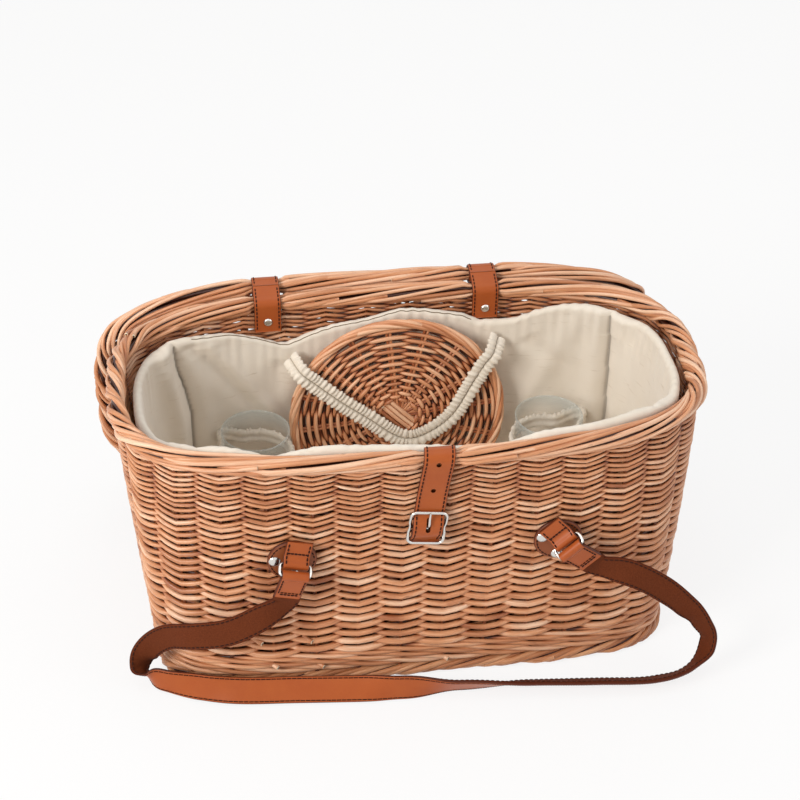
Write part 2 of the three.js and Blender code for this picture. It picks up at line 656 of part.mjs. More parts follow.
// Anchors: patch, rivets, tab, ring and the strap's folded end, each in its turned frame
const anchors = [
  { side: 'left', sign: -1, roll: 14, shift: [1.5, 0], rivets: [[-14.6, 1], [1, -15]] },
  { side: 'right', sign: 1, roll: -45, shift: [6, 3], rivets: [[-13.8, 4], [-0.5, -15.2]] },
];
const ringTop = [-(PATCH_THICKNESS + ANCHOR_RIVET_HEIGHT + GAP * 3 + EYE + LEATHER), 2];
const lean = radians(RING_LEAN);
const ringLow = [ringTop[0] - RING_DEPTH * Math.sin(lean), ringTop[1] - RING_DEPTH * Math.cos(lean)];
const endLean = radians(13);
const strapEnds = {};
for (const { side, sign, roll, shift, rivets } of anchors) {
  const anchor = new THREE.Group();
  anchor.position.set(sign * ANCHOR_X, wallFront(ANCHOR_HEIGHT) - GAP, ANCHOR_HEIGHT);
  anchor.rotation.x = wallSlope;
  model.add(anchor);
  const tab = new THREE.Group();
  tab.position.set(shift[0], 0, shift[1]);
  tab.rotation.y = radians(roll);
  anchor.add(tab);
  const patch = new THREE.CylinderGeometry(PATCH_RADIUS, PATCH_RADIUS - 0.5, PATCH_THICKNESS, 32)
    .translate(0, -PATCH_THICKNESS / 2, 0);
  const holes = rivets.map(([x, z]) => bar(1.6 + GAP, 12, 'y', [x, -1, z], 10));
  piece(`anchor_patch_${side}`, cut(patch, ...holes), colour.leather, 0.5, 0, anchor);
  rivets.forEach(([x, z], i) => {
    piece(`anchor_rivet_${side}_${i + 1}`, rivet(
      ANCHOR_RIVET_RADIUS, ANCHOR_RIVET_HEIGHT, PATCH_THICKNESS - 1 + GAP, 1.6, 1.6,
    ).translate(x, -PATCH_THICKNESS - GAP, z), colour.steel, 0.25, 1, anchor);
  });
  const tabY = -(PATCH_THICKNESS + GAP + LEATHER / 2);
  const overRivet = tabY - ANCHOR_RIVET_HEIGHT - GAP;
  const tabShape = stripShape([
    [ringTop[0], ringTop[1] + EYE + LEATHER / 2], [overRivet, ringTop[1] + 7],
    [overRivet, ringTop[1] + 11], [tabY, ringTop[1] + TAB_LENGTH],
  ], LEATHER, 8);
  piece(`anchor_tab_${side}`, join(
    acrossX(eyeShape(ringTop[0], ringTop[1], EYE, EYE + LEATHER), TAB_WIDTH),
    acrossX(tabShape, TAB_WIDTH),
  ), colour.leather, 0.5, 0, tab);
  const ringPoint = (x, t) => [x, mix(ringTop[0], ringLow[0], t), mix(ringTop[1], ringLow[1], t)];
  const w = RING_HALF_WIDTH;
  piece(`anchor_ring_${side}`, wire([
    ringPoint(1.5 - w, 0), ringPoint(0, 0), ringPoint(w - 1.5, 0), ringPoint(w, 0.2), ringPoint(w, 0.8),
    ringPoint(w - 1.5, 1), ringPoint(0, 1), ringPoint(1.5 - w, 1), ringPoint(-w, 0.8), ringPoint(-w, 0.2),
  ], RING_WIRE, true, 6), colour.steel, 0.25, 1, tab);
  const endTop = [ringLow[0] - 0.6, ringLow[1] - EYE - LEATHER / 2];
  const endLow = [endTop[0] + END_LENGTH * Math.sin(endLean), endTop[1] - END_LENGTH * Math.cos(endLean)];
  piece(`strap_end_${side}`, join(
    acrossX(eyeShape(ringLow[0], ringLow[1], EYE, EYE + LEATHER), STRAP_WIDTH),
    acrossX(stripShape([[endTop[0] + 0.2, endTop[1] + 1.2], endLow], STRAP_THICKNESS * 1.6), STRAP_WIDTH),
  ), colour.leather, 0.5, 0, tab);
  tab.updateWorldMatrix(true, false);
  const inner = endLean;
  const exit = new THREE.Vector3(0, endLow[0] + GAP * Math.sin(inner), endLow[1] - GAP * Math.cos(inner));
  strapEnds[side] = {
    point: exit.clone().applyMatrix4(tab.matrixWorld),
    along: new THREE.Vector3(0, Math.sin(inner), -Math.cos(inner)).transformDirection(tab.matrixWorld),
    across: new THREE.Vector3(1, 0, 0).transformDirection(tab.matrixWorld),
    flesh: new THREE.Vector3(0, -Math.cos(inner), -Math.sin(inner)).transformDirection(tab.matrixWorld),
  };
}

// Shoulder strap: it leaves both ends, turns and lies on its edge before the basket.
// Each stop is its middle, then the way its suede side faces.
const strapStops = [
  [[-148, -134, 91], [-0.2, -0.85, 0.5]],
  [[-170, -132.5, 81], [-0.15, -0.85, 0.5]],
  [[-196, -124, 73], [-0.2, -0.85, 0.4]],
  [[-218, -107, 59], [-0.35, -0.85, 0.25]],
  [[-234, -97, 38], [-0.1, -0.9, 0.3]],
  [[-240, -96, 21], [0.5, -0.75, 0.35]],
  [[-236, -101, 12.8], [0.95, 0.1, 0.3]],
  [[-222, -109, 12], [0.5, 0.85, -0.1]],
  [[-190, -121, 11.2], [0.1, 0.85, -0.45]],
  [[-160, -128, 10.4], [0, 0.76, -0.65]],
  [[-110, -133, 10.2], [0, 0.73, -0.68]],
  [[-60, -138.5, 10.6], [0, 0.78, -0.6]],
  [[-20, -143.5, 12], [0, 0.95, -0.2]],
  [[30, -146, 11], [0, 0.85, 0.5]],
  [[90, -148.5, 9], [0, 0.62, 0.78]],
  [[146, -154, 8.8], [0, 0.59, 0.81]],
  [[200, -158, 9], [-0.03, 0.59, 0.81]],
  [[230, -153, 13.5], [-0.6, 0.5, 0.57]],
  [[246, -146, 34], [-0.88, -0.2, 0.1]],
  [[240, -144, 55], [-0.62, -0.72, -0.2]],
  [[222, -144, 79], [-0.29, -0.9, 0.1]],
  [[198, -142, 101], [-0.05, -0.92, 0.3]],
  [[172, -140, 117], [-0.1, -0.88, 0.42]],
];
const STRAP_STEPS = 76;

function strapRings() {
  const { left, right } = strapEnds;
  const lead = (end) => end.point.clone().addScaledVector(end.along, 10);
  const points = [
    left.point, lead(left), ...strapStops.map(([p]) => new THREE.Vector3(...p)), lead(right), right.point,
  ];
  const faces = [
    left.flesh, left.flesh, ...strapStops.map(([, f]) => new THREE.Vector3(...f)), right.flesh, right.flesh,
  ];
  const curve = new THREE.CatmullRomCurve3(points, false, 'centripetal');
  const rings = [];
  for (let i = 0; i <= STRAP_STEPS; i++) {
    const t = i / STRAP_STEPS;
    const where = t * (points.length - 1);
    const k = Math.min(points.length - 2, Math.floor(where));
    const face = faces[k].clone().lerp(faces[k + 1], smooth(where - k));
    const along = curve.getTangent(t);
    if (i === 0) along.copy(left.along);
    if (i === STRAP_STEPS) along.copy(right.along).negate();
    const across = face.clone().cross(along).normalize();
    const normal = along.clone().cross(across).normalize();
    const p = curve.getPoint(t);
    rings.push([[1, 1], [1, -1], [-1, -1], [-1, 1]].map(([w, h]) => p.clone()
      .addScaledVector(across, (w * STRAP_WIDTH) / 2)
      .addScaledVector(normal, (h * STRAP_THICKNESS) / 2)
      .toArray()));
  }
  return { rings, length: curve.getLength() };
}

const strap = strapRings();
piece('shoulder_strap', gridSolid(strap.rings, false), colour.leather, 0.5);

// Lining: a padded wall bag and a floor pad, its top edge dipping at the hinge straps
const liningFoot = baseTop + GAP + 0.8;
const liningFloor = liningFoot + LINING_PAD + 4;
const liningTopAt = (x, y) => {
  const back = Math.min(1, Math.max(0, (y + 40) / 120));
  const dips = hinges.reduce((sum, [, at]) => sum + Math.exp(-(((x - at) / 25) ** 4)), 0);
  const ends = smooth(Math.min(1, Math.max(0, (Math.abs(x) - RIM_HALF_LENGTH + 95) / 90)));
  const rear = RIM_HEIGHT - 5 - 24 * dips + (x > 120 ? 5 * (1 - ends) - 24 * ends * back : 0);
  const front = RIM_HEIGHT + RIM_RADIUS - 2 + 1.2 * Math.sin(x / 19);
  return mix(front, rear, smooth(back));
};

function liningPlan(z, extra) {
  const t = Math.min(1, rise(z));
  const wall = WALL_THICKNESS / 2 + LINING_WALL_CLEAR;
  const rim = RIM_RADIUS + LINING_RIM_CLEAR;
  return bodyPlan(Math.min(z, RIM_HEIGHT), mix(wall, rim, t) + extra);
}

/** One ring of the lining's wall, t of the way up; its inner face is puffed between seams. */
function liningRing(t, inner) {
  const plan = liningPlan(mix(liningFoot, RIM_HEIGHT, t), inner ? LINING_PAD : 0);
  return Array.from({ length: LINING_SAMPLES }, (_, i) => {
    const { x, y, nx, ny } = plan.at(i / LINING_SAMPLES);
    const seam = Math.abs(Math.sin((i / LINING_SAMPLES) * TURN * 4));
    const puff = inner ? LINING_PUFF * Math.sin(Math.PI * t) * seam : 0;
    return [x - nx * puff, y - ny * puff, mix(liningFoot, liningTopAt(x, y) - 1.5, t)];
  });
}

/** The wall bag: up its outside, over the crest and down its inside. */
function liningRings() {
  const crest = Array.from({ length: LINING_SAMPLES }, (_, i) => {
    const { x, y } = liningPlan(RIM_HEIGHT, LINING_PAD / 2).at(i / LINING_SAMPLES);
    return [x, y, liningTopAt(x, y)];
  });
  return [
    ...LINING_LEVELS.map((t) => liningRing(t, false)), crest,
    ...LINING_LEVELS.slice().reverse().map((t) => liningRing(t, true)),
  ];
}

/** The floor pad, sewn in at the foot of the wall bag. */
function liningFloorRings() {
  const plan = liningPlan(liningFoot, LINING_PAD + GAP * 4);
  const samples = 40;
  const at = (z, share) => Array.from({ length: samples }, (_, i) => {
    const { x, y } = plan.at(i / samples);
    return [x * share, y * share, z];
  });
  const bevel = (liningFloor - liningFoot) / 4;
  return [at(liningFoot, 0.97), at(liningFoot + bevel, 1), at(liningFloor - bevel, 1), at(liningFloor, 0.96)];
}

/** The outline of the lining's inner face at a height. */
function liningInside(z) {
  const rings = LINING_LEVELS.map((t) => liningRing(t, true));
  return rings[0].map((_, i) => {
    const above = rings.findIndex((ring) => ring[i][2] >= z);
    const k = above < 1 ? rings.length - 1 : above;
    const [low, high] = [rings[k - 1][i], rings[k][i]];
    const f = (z - low[2]) / (high[2] - low[2]);
    return [mix(low[0], high[0], f), mix(low[1], high[1], f)];
  });
}

/** How far from (x, y) the lining's inner face lies in a direction. */
function reachIn(outline, x, y, angle) {
  const [dx, dy] = [Math.cos(angle), Math.sin(angle)];
  let reach = Infinity;
  outline.forEach(([x0, y0], i) => {
    const [x1, y1] = outline[(i + 1) % outline.length];
    const across = dx * (y1 - y0) - dy * (x1 - x0);
    const along = ((x0 - x) * (y1 - y0) - (y0 - y) * (x1 - x0)) / across;
    const share = ((x0 - x) * dy - (y0 - y) * dx) / across;
    if (along > 0 && share >= 0 && share <= 1) reach = Math.min(reach, along);
  });
  return reach;
}

piece('lining', gridSolid(liningRings(), true), colour.cotton, 0.9);
piece('lining_floor', gridSolid(liningFloorRings(), false), colour.cotton, 0.9);

// Glasses, each standing on the lining's floor inside a ruched elastic loop
const glassFoot = liningFloor + GAP;
const glassRim = glassFoot + GLASS_HEIGHT;
const glassWaist = mix(GLASS_FOOT_RADIUS, GLASS_RADIUS, 0.5);
const glassRadiusAt = (up) => mix(glassWaist, GLASS_RADIUS, up / (GLASS_HEIGHT / 2) - 1);
for (const [side, [x, y]] of Object.entries(GLASS_PLACES)) {
  const profile = [
    [0, 1.5], [GLASS_FOOT_RADIUS - 6, 1], [GLASS_FOOT_RADIUS - 3, 0], [GLASS_FOOT_RADIUS, 3],
    [glassWaist, GLASS_HEIGHT / 2], [GLASS_RADIUS, GLASS_HEIGHT - 1],
    [GLASS_RADIUS - GLASS_WALL / 2, GLASS_HEIGHT], [GLASS_RADIUS - GLASS_WALL, GLASS_HEIGHT - 1],
    [glassWaist - GLASS_WALL, GLASS_HEIGHT / 2],
    [GLASS_FOOT_RADIUS - GLASS_WALL - 1, 10], [GLASS_FOOT_RADIUS - 8, 7], [0, 6],
  ];
  const glass = new THREE.LatheGeometry(profile.map((p) => new THREE.Vector2(...p)), 24).rotateX(Math.PI / 2);
  piece(`glass_${side}`, tidy(glass).translate(x, y, glassFoot), colour.glass, 0.05);

  const loopZ = glassRim - LOOP_DROP;
  const lining = liningInside(loopZ);
  const sewn = Math.atan2(y, x * 0.35);
  const snug = glassRadiusAt(GLASS_HEIGHT - LOOP_DROP + LOOP_HEIGHT / 2) + GAP;
  const rings = Array.from({ length: 36 }, (_, i) => {
    const angle = (i / 36) * TURN;
    const ripple = (i % 2 ? 1 : -1) * BAND_RUFFLE;
    const inner = snug / Math.cos(Math.PI / 36);
    const near = Math.max(0, Math.cos(angle - sewn)) ** 40;
    const wall = reachIn(lining, x, y, angle) - GAP * 1.2;
    const outer = Math.min(mix(inner + LOOP_THICKNESS + ripple, wall, near), wall);
    const h = LOOP_HEIGHT / 2 + ripple * 0.4;
    const at = (r, z) => [x + Math.cos(angle) * r, y + Math.sin(angle) * r, loopZ + z];
    return [at(inner, -h), at(outer, -h * 0.6), at(outer, h * 0.6), at(inner, h)];
  });
  piece(`glass_loop_${side}`, gridSolid(rings, true), colour.cotton, 0.9);
}

// Round wicker tray leaning on the back, and the elastic vee that holds it
const tray = new THREE.Group();
const trayZ = liningFloor + GAP + TRAY_RADIUS * Math.cos(radians(TRAY_LEAN)) + TRAY_ROLL * Math.sin(radians(TRAY_LEAN));
tray.position.set(TRAY_X, TRAY_Y, trayZ);
tray.rotation.x = -radians(TRAY_LEAN);
model.add(tray);

function trayRings() {
  const half = TRAY_THICKNESS / 2;
  const edge = TRAY_RADIUS - TRAY_ROLL;
  const profile = [];
  const radii = [6, 20, 34, 48, 62, 76, 88];
  radii.forEach((r) => profile.push([r * (edge / 95), -half, 1]));
  for (let k = 0; k <= 4; k++) {
    const t = mix(-0.75, 0.75, k / 4) * Math.PI;
    profile.push([edge + TRAY_ROLL * Math.cos(t), TRAY_ROLL * Math.sin(t), 0]);
  }
  radii.slice().reverse().forEach((r) => profile.push([r * (edge / 95), half, -1]));
  const around = TRAY_STAKES * 2;
  return profile.map(([r, y, relief], k) => Array.from({ length: around }, (_, i) => {
    const angle = (i / around) * TURN;
    const wave = relief * 0.8 * ((i + k) % 2 ? 1 : -1);
    return [r * Math.cos(angle), y + wave, r * Math.sin(angle)];
  }));
}

piece('round_tray', gridSolid(trayRings(), false), colour.willow, 0.6, 0, tray);

const bandFront = -(TRAY_ROLL + GAP + BAND_RUFFLE * 0.5 + BAND_THICKNESS / 2);
const bandStops = [[-101, 54], [-86, 46], [5, -22.5], [88, 57], [99, 66]];

/** The vee in the tray's own frame, its two ends turned back to the lining. */
function bandRings() {
  const wallY = (x, z) => {
    const world = new THREE.Vector3(x, 0, z).applyAxisAngle(new THREE.Vector3(1, 0, 0), -radians(TRAY_LEAN));
    const plan = liningPlan(world.z + trayZ, LINING_PAD + LINING_PUFF + GAP);
    return (plan.depthAt(x + TRAY_X) - TRAY_Y - world.y) / Math.cos(radians(TRAY_LEAN)) - 1;
  };
  const [leftEnd, left, low, right, rightEnd] = bandStops;
  const points = [];
  const add = (x, y, z) => points.push(new THREE.Vector3(x, y, z));
  add(leftEnd[0], wallY(...leftEnd), leftEnd[1]);
  add(leftEnd[0] + 4, bandFront * 0.2, leftEnd[1] - 3);
  for (let k = 0; k <= 10; k++) add(mix(left[0], low[0], k / 10), bandFront, mix(left[1], low[1], k / 10));
  for (let k = 1; k <= 10; k++) add(mix(low[0], right[0], k / 10), bandFront, mix(low[1], right[1], k / 10));
  add(rightEnd[0] - 4, bandFront * 0.2, rightEnd[1] - 3);
  add(rightEnd[0], wallY(...rightEnd), rightEnd[1]);
  const curve = new THREE.CatmullRomCurve3(points, false, 'centripetal');
  const steps = 48;
  return Array.from({ length: steps + 1 }, (_, i) => {
    const p = curve.getPointAt(i / steps);
    const along = curve.getTangentAt(i / steps);
    const face = new THREE.Vector3(0, -1, 0);
    if (Math.abs(along.y) > 0.5) face.set(Math.sign(p.x), -0.2, 0);
    const across = face.cross(along).normalize();
    const out = along.clone().cross(across).normalize();
    const swell = (i % 2 ? 1 : -1) * BAND_RUFFLE;
    return [[1, 0.6], [1, -0.6], [0, -1], [-1, -0.6], [-1, 0.6], [0, 1]].map(([w, h]) => p.clone()
      .addScaledVector(across, w * (BAND_WIDTH / 2 + swell * 0.5))
      .addScaledVector(out, h * (BAND_THICKNESS / 2 + swell * 0.5))
      .toArray());
  });
}

piece('tray_band', gridSolid(bandRings(), false), colour.cotton, 0.9, 0, tray);

// The frame's origin: the middle of what stands and hangs, without the loose strap
const held = new THREE.Box3();
model.updateWorldMatrix(true, true);
model.traverse((node) => {
  if (node.isMesh && node.name !== 'shoulder_strap') held.expandByObject(node, true);
});
model.position.set(-(held.min.x + held.max.x) / 2, -(held.min.y + held.max.y) / 2, -held.min.z);
model.updateWorldMatrix(true, true);
const round = (v) => Math.round(v * 100) / 100;
console.log('strap length', round(strap.length), 'shift', model.position.toArray().map(round).join(' '));
console.log('fold', round(hingeY + foldY), round(RIM_HEIGHT + foldZ), 'hang', round(lidHang * 360 / TURN),
  'tilt', round(lidTilt * 360 / TURN), 'floor', round(liningFloor), 'glass rim', round(glassRim),
  'tray z', round(trayZ), 'bar y', round(barY));

export default model;
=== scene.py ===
"""A willow picnic basket with its lid hanging open, dressed over its frame.

Sizes are millimetres in the basket's own frame until a shape becomes a mesh.
"""

import logging
import math
from dataclasses import dataclass
from enum import Enum
from typing import Iterable, Sequence

import bpy
import numpy as np
from mathutils import Matrix, Vector


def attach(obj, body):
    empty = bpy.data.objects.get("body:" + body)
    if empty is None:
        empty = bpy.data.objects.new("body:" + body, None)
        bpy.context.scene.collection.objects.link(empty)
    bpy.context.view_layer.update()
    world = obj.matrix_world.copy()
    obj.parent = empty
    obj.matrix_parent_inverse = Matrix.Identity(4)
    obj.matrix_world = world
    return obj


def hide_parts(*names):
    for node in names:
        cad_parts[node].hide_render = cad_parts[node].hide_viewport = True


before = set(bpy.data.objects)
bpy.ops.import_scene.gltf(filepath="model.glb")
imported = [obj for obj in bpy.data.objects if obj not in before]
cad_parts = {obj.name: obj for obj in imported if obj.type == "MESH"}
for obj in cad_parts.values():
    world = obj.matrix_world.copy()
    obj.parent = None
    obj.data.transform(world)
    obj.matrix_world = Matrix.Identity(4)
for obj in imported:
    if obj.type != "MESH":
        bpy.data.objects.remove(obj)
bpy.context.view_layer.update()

Array = np.ndarray
Random = np.random.Generator
Pair = tuple[float, float]
log = logging.getLogger("basket")
TURN = 2 * math.pi
MM = 0.001
SHIFT = np.array([0.0, -21.42, 0.0])  # from the basket's middle to the frame's origin
GAP = 0.3  # between pieces that lie on each other
FRONT = np.array([0.0, -1.0, 0.0])
UP = np.array([0.0, 0.0, 1.0])
ACROSS = np.array([1.0, 0.0, 0.0])

RIM_HALF_LENGTH = 245.0
RIM_HALF_DEPTH = 122.0
RIM_POWER = 3.15
RIM_HEIGHT = 241.0
FOOT_HALF_LENGTH = 222.0
FOOT_HALF_DEPTH = 112.0
FOOT_POWER = 5.6
FOOT_RADIUS = 6.4
FOOT_FLAT = 0.8
WALL_BOTTOM = 2 * FOOT_RADIUS - FOOT_FLAT + GAP
WALL_HALF = 3.0
WEAVE_DEPTH = 1.1
STAKES = 34
LEATHER = 2.2
HINGE_WIDTH = 24.0
HINGE_X = {"left": -108.0, "right": 88.5}
HINGE_REACH = (19.5, 5.0)  # from the rim rope's middle to the lid rope's, back and up
ROPE_RADIUS = 8.5
WAIST = 6.2  # the ropes' radius under a leather strap
STRAP_WIDTH = 23.0
STRAP_THICKNESS = 3.0
SUNK = 0.05  # how far a thread's middle lies under the leather's face
BUCKLE_HEIGHT = 176.0
CLOSURE_LOW_X = -0.8  # the closure strap's middle at the buckle
CLOSURE_HIGH_X = 8.2  # and at the rim
GRAIN_RADIUS = 2.0  # of the tube of streaks that each rod is cut from
SHADOW_DEPTH = 1.6  # how much painted shade darkens a rod's tone in a weave's middle
SHADOW_REACH = 2.2  # how far out of the middle that ends


class Face(Enum):
    """The two sides of a strip of leather."""

    SMOOTH = 1
    SUEDE = 0


def mix(a: float, b: float, t: float) -> float:
    """The value t of the way from a to b."""
    return a + (b - a) * t


def smooth(t: Array) -> Array:
    """An eased step of values clipped to 0..1."""
    t = np.clip(t, 0.0, 1.0)
    return t * t * (3 - 2 * t)


def unit(v: Array) -> Array:
    """Vectors along the last axis made one long."""
    return v / np.maximum(np.linalg.norm(v, axis=-1, keepdims=True), 1e-9)


def travelled(path: Array) -> Array:
    """How far along a path each of its points lies."""
    return np.concatenate([[0.0], np.cumsum(np.linalg.norm(np.diff(path, axis=0), axis=1))])


def at_lengths(want: Array, run: Array, values: Array) -> Array:
    """Rows of values, known at run along a path, at the wanted lengths."""
    return np.stack([np.interp(want, run, column) for column in values.T], axis=-1)


def ripple(u: Array, rng: Random, low: int, high: int, terms: int = 6) -> Array:
    """A random wave round a closed outline.

    Args:
        u: shares of the outline, 0 to 1.
        rng: where its phases come from.
        low: fewest waves round the outline.
        high: most waves round it.
        terms: how many waves are added.

    Returns:
        Values of about -1 to 1 at each share.
    """
    counts = rng.integers(low, high + 1, terms)
    phases = rng.uniform(0, TURN, terms)
    total = sum(np.sin(TURN * n * u + p) for n, p in zip(counts, phases))
    return total / math.sqrt(terms)


class Plan:
    """A superellipse outline with points spread evenly along its length."""

    def __init__(self, half_length: float, half_depth: float, power: float) -> None:
        """Measures the outline of the given half sizes and power.

        Args:
            half_length: half its length.
            half_depth: half its depth.
            power: 2 for an ellipse, and more for squarer ends.
        """
        self.a, self.b, self.n = half_length, half_depth, power
        t = np.linspace(0, TURN, 1441)
        c, s = np.cos(t), np.sin(t)
        r = (np.abs(c / self.a) ** power + np.abs(s / self.b) ** power) ** (-1 / power)
        self.x, self.y = r * c, r * s
        steps = np.hypot(np.diff(self.x), np.diff(self.y))
        self.run = np.concatenate([[0.0], np.cumsum(steps)])
        self.length = float(self.run[-1])

    def at(self, u: Array) -> tuple[Array, Array, Array, Array]:
        """Points and outward normals at shares of the outline.

        Args:
            u: shares of the outline, wrapped into 0..1.

        Returns:
            x, y and the normal's x and y.
        """
        want = np.mod(u, 1.0) * self.length
        x = np.interp(want, self.run, self.x)
        y = np.interp(want, self.run, self.y)
        nx = np.sign(x) * np.abs(x / self.a) ** (self.n - 1) / self.a
        ny = np.sign(y) * np.abs(y / self.b) ** (self.n - 1) / self.b
        size = np.hypot(nx, ny)
        return x, y, nx / size, ny / size

    def find(self, x: float, side: int) -> float:
        """The share at which the front (-1) or back (1) side passes x."""
        here = np.where(np.sign(self.y) == side, np.abs(self.x - x), np.inf)
        return float(self.run[int(np.argmin(here))] / self.length)

    def depth_at(self, x: Array) -> Array:
        """Half the depth at x."""
        return self.b * np.maximum(0.0, 1 - np.abs(x / self.a) ** self.n) ** (1 / self.n)


def body_plan(z: float, inset: float = 0.0) -> Plan:
    """The wall's middle outline at a height, moved in by inset.

    Args:
        z: the height.
        inset: how far it lies inside the wall's middle.

    Returns:
        The outline.
    """
    t = (z - WALL_BOTTOM) / (RIM_HEIGHT - WALL_BOTTOM)
    return Plan(
        mix(FOOT_HALF_LENGTH, RIM_HALF_LENGTH, t) - inset,
        mix(FOOT_HALF_DEPTH, RIM_HALF_DEPTH, t) - inset,
        mix(FOOT_POWER, RIM_POWER, t),
    )


def wall_front(z: float) -> float:
    """The y of the wall's front face at a height."""
    return -(body_plan(z).b + WALL_HALF + WEAVE_DEPTH)


def closure_x(z: float) -> float:
    """The x of the closure strap's middle at a height."""
    return mix(CLOSURE_LOW_X, CLOSURE_HIGH_X, (z - BUCKLE_HEIGHT) / (RIM_HEIGHT - BUCKLE_HEIGHT))


RIM_PLAN = Plan(RIM_HALF_LENGTH, RIM_HALF_DEPTH, RIM_POWER)
LID_PLAN = Plan(257.0, 121.0, 3.6)
HINGE_Y = float(np.mean([RIM_PLAN.depth_at(x) for x in HINGE_X.values()]))
LID_MIDDLE = float(np.mean([LID_PLAN.depth_at(x) for x in HINGE_X.values()]))
WALL_SLOPE = math.atan((RIM_HALF_DEPTH - FOOT_HALF_DEPTH) / (RIM_HEIGHT - WALL_BOTTOM))


class Shape:
    """Points, faces and point values gathered for one mesh."""

    def __init__(self) -> None:
        """Starts empty."""
        self.points: list[Array] = []
        self.quads: list[Array] = []
        self.caps: list[Array] = []
        self.grain: list[Array] = []
        self.tone: list[Array] = []
        self.pale: list[Array] = []
        self.count = 0

    def add(
        self, points: Array, quads: Array, caps: Iterable[Array] = (), grain: Array | None = None,
        tone: Array | float = 0.5, pale: Array | float = 0.0
    ) -> None:
        """Adds one surface.

        Args:
            points: its points, N by 3, in millimetres.
            quads: its four-sided faces.
            caps: its many-sided faces.
            grain: each point's place along, round and among the rods.
            tone: a shade from 0 to 1 at each point; on willow values below 0, and on cloth all of it, are
                painted shade.
            pale: 1 where the material shows its other face, and on cloth how much painted shade lies in a
                pleat's hollow.
        """
        n = len(points)
        self.points.append(np.asarray(points, float))
        self.quads.append(np.asarray(quads, int) + self.count)
        self.caps.extend(np.asarray(c, int) + self.count for c in caps)
        self.grain.append(points.copy() if grain is None else grain)
        self.tone.append(np.broadcast_to(np.asarray(tone, float), (n,)))
        self.pale.append(np.broadcast_to(np.asarray(pale, float), (n,)))
        self.count += n

    def sweep(self, path: Array, section: Array, out: Array, closed: bool = False) -> None:
        """Adds a section carried along a path."""
        self.add(*sweep(path, section, out, closed))

    def mount(
        self, name: str, finish: "Finish", body: str, *nodes: str, matrix: Matrix | None = None
    ) -> bpy.types.Object:
        """Makes the object with its finish's material and gives it its body and its nodes.

        Args:
            name: the object's name.
            finish: what it is made of.
            body: the body that it moves with.
            nodes: the nodes that it stands for.
            matrix: a turn and shift in the basket's frame, in millimetres.

        Returns:
            The object.
        """
        obj = self.piece(name, finish, matrix)
        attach(obj, body)
        if nodes:
            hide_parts(*nodes)
        return obj

    def piece(self, name: str, finish: "Finish", matrix: Matrix | None = None) -> bpy.types.Object:
        """Makes the object.

        Args:
            name: the object's name.
            finish: what it is made of.
            matrix: a turn and shift in the basket's frame, in millimetres.

        Returns:
            The object, in metres in the frame's axes.
        """
        points = np.concatenate(self.points)
        if matrix is not None:
            m = np.array(matrix)
            points = points @ m[:3, :3].T + m[:3, 3]
        points = (points + SHIFT) * MM
        quads = np.concatenate(self.quads)
        mesh = bpy.data.meshes.new(name)
        mesh.vertices.add(len(points))
        mesh.vertices.foreach_set("co", points.astype(np.float32).ravel())
        loops = [quads.ravel(), *self.caps]
        totals = np.concatenate([np.full(len(quads), 4), [len(c) for c in self.caps]]).astype(np.int32)
        mesh.loops.add(int(totals.sum()))
        mesh.loops.foreach_set("vertex_index", np.concatenate(loops).astype(np.int32))
        mesh.polygons.add(len(totals))
        starts = np.concatenate([[0], np.cumsum(totals)[:-1]]).astype(np.int32)
        mesh.polygons.foreach_set("loop_start", starts)
        mesh.polygons.foreach_set("loop_total", totals)
        mesh.polygons.foreach_set("use_smooth", np.ones(len(totals), bool))
        mesh.update(calc_edges=True)
        mesh.validate()
        for label, kind, values, slot in (
            ("grain", "FLOAT_VECTOR", np.concatenate(self.grain), "vector"),
            ("tone", "FLOAT", np.concatenate(self.tone), "value"),
            ("pale", "FLOAT", np.concatenate(self.pale), "value"),
        ):
            layer = mesh.attributes.new(label, kind, "POINT")
            layer.data.foreach_set(slot, values.astype(np.float32).ravel())
        mesh.materials.append(finish.material())
        obj = bpy.data.objects.new(name, mesh)
        bpy.context.scene.collection.objects.link(obj)
        return obj


def grid_faces(rows: int, across: int, closed: bool) -> Array:
    """Four-sided faces between rings of points, each ring joined up.

    Args:
        rows: how many rings there are.
        across: points in each ring.
        closed: whether the last ring joins the first.

    Returns:
        The faces, each four point numbers.
    """
    ring = np.arange(rows if closed else rows - 1)[:, None]
    point = np.arange(across)[None, :]
    here, there = ring * across, (ring + 1) % rows * across
    follow = (point + 1) % across
    return np.stack([here + point, here + follow, there + follow, there + point], axis=-1).reshape(-1, 4)


def sweep(path: Array, section: Array, out: Array, closed: bool = False) -> tuple[Array, Array, list[Array]]:
    """Carries a section along a path.

    Args:
        path: the points it follows, N by 3.
        section: its points as (side, out) pairs, M by 2, or N by M by 2.
        out: the way its out side faces, one vector or N of them.
        closed: whether the path joins up.

    Returns:
        Points, four-sided faces and end faces.
    """
    n = len(path)
    if closed:
        tangent = np.roll(path, -1, axis=0) - np.roll(path, 1, axis=0)
    else:
        tangent = np.gradient(path, axis=0)
    tangent = unit(tangent)
    out = np.broadcast_to(out, (n, 3))
    side = unit(np.cross(tangent, out))
    up = np.cross(side, tangent)
    section = np.broadcast_to(section, (n, *np.shape(section)[-2:]))
    points = path[:, None] + side[:, None] * section[..., :1] + up[:, None] * section[..., 1:]
    m = section.shape[1]
    caps = [] if closed else [np.arange(m), np.arange(m)[::-1] + (n - 1) * m]
    return points.reshape(-1, 3), grid_faces(n, m, closed), caps


def circle(radius: Array | float, sides: int) -> Array:
    """A round section, or one for each radius.

    Args:
        radius: its radius, or one for each point of a path.
        sides: how many corners it has.

    Returns:
        Its points as (side, out) pairs.
    """
    t = np.arange(sides) / sides * TURN
    ring = np.stack([np.cos(t), np.sin(t)], axis=-1)
    return ring * np.reshape(radius, (-1, 1, 1)) if np.ndim(radius) else ring * radius


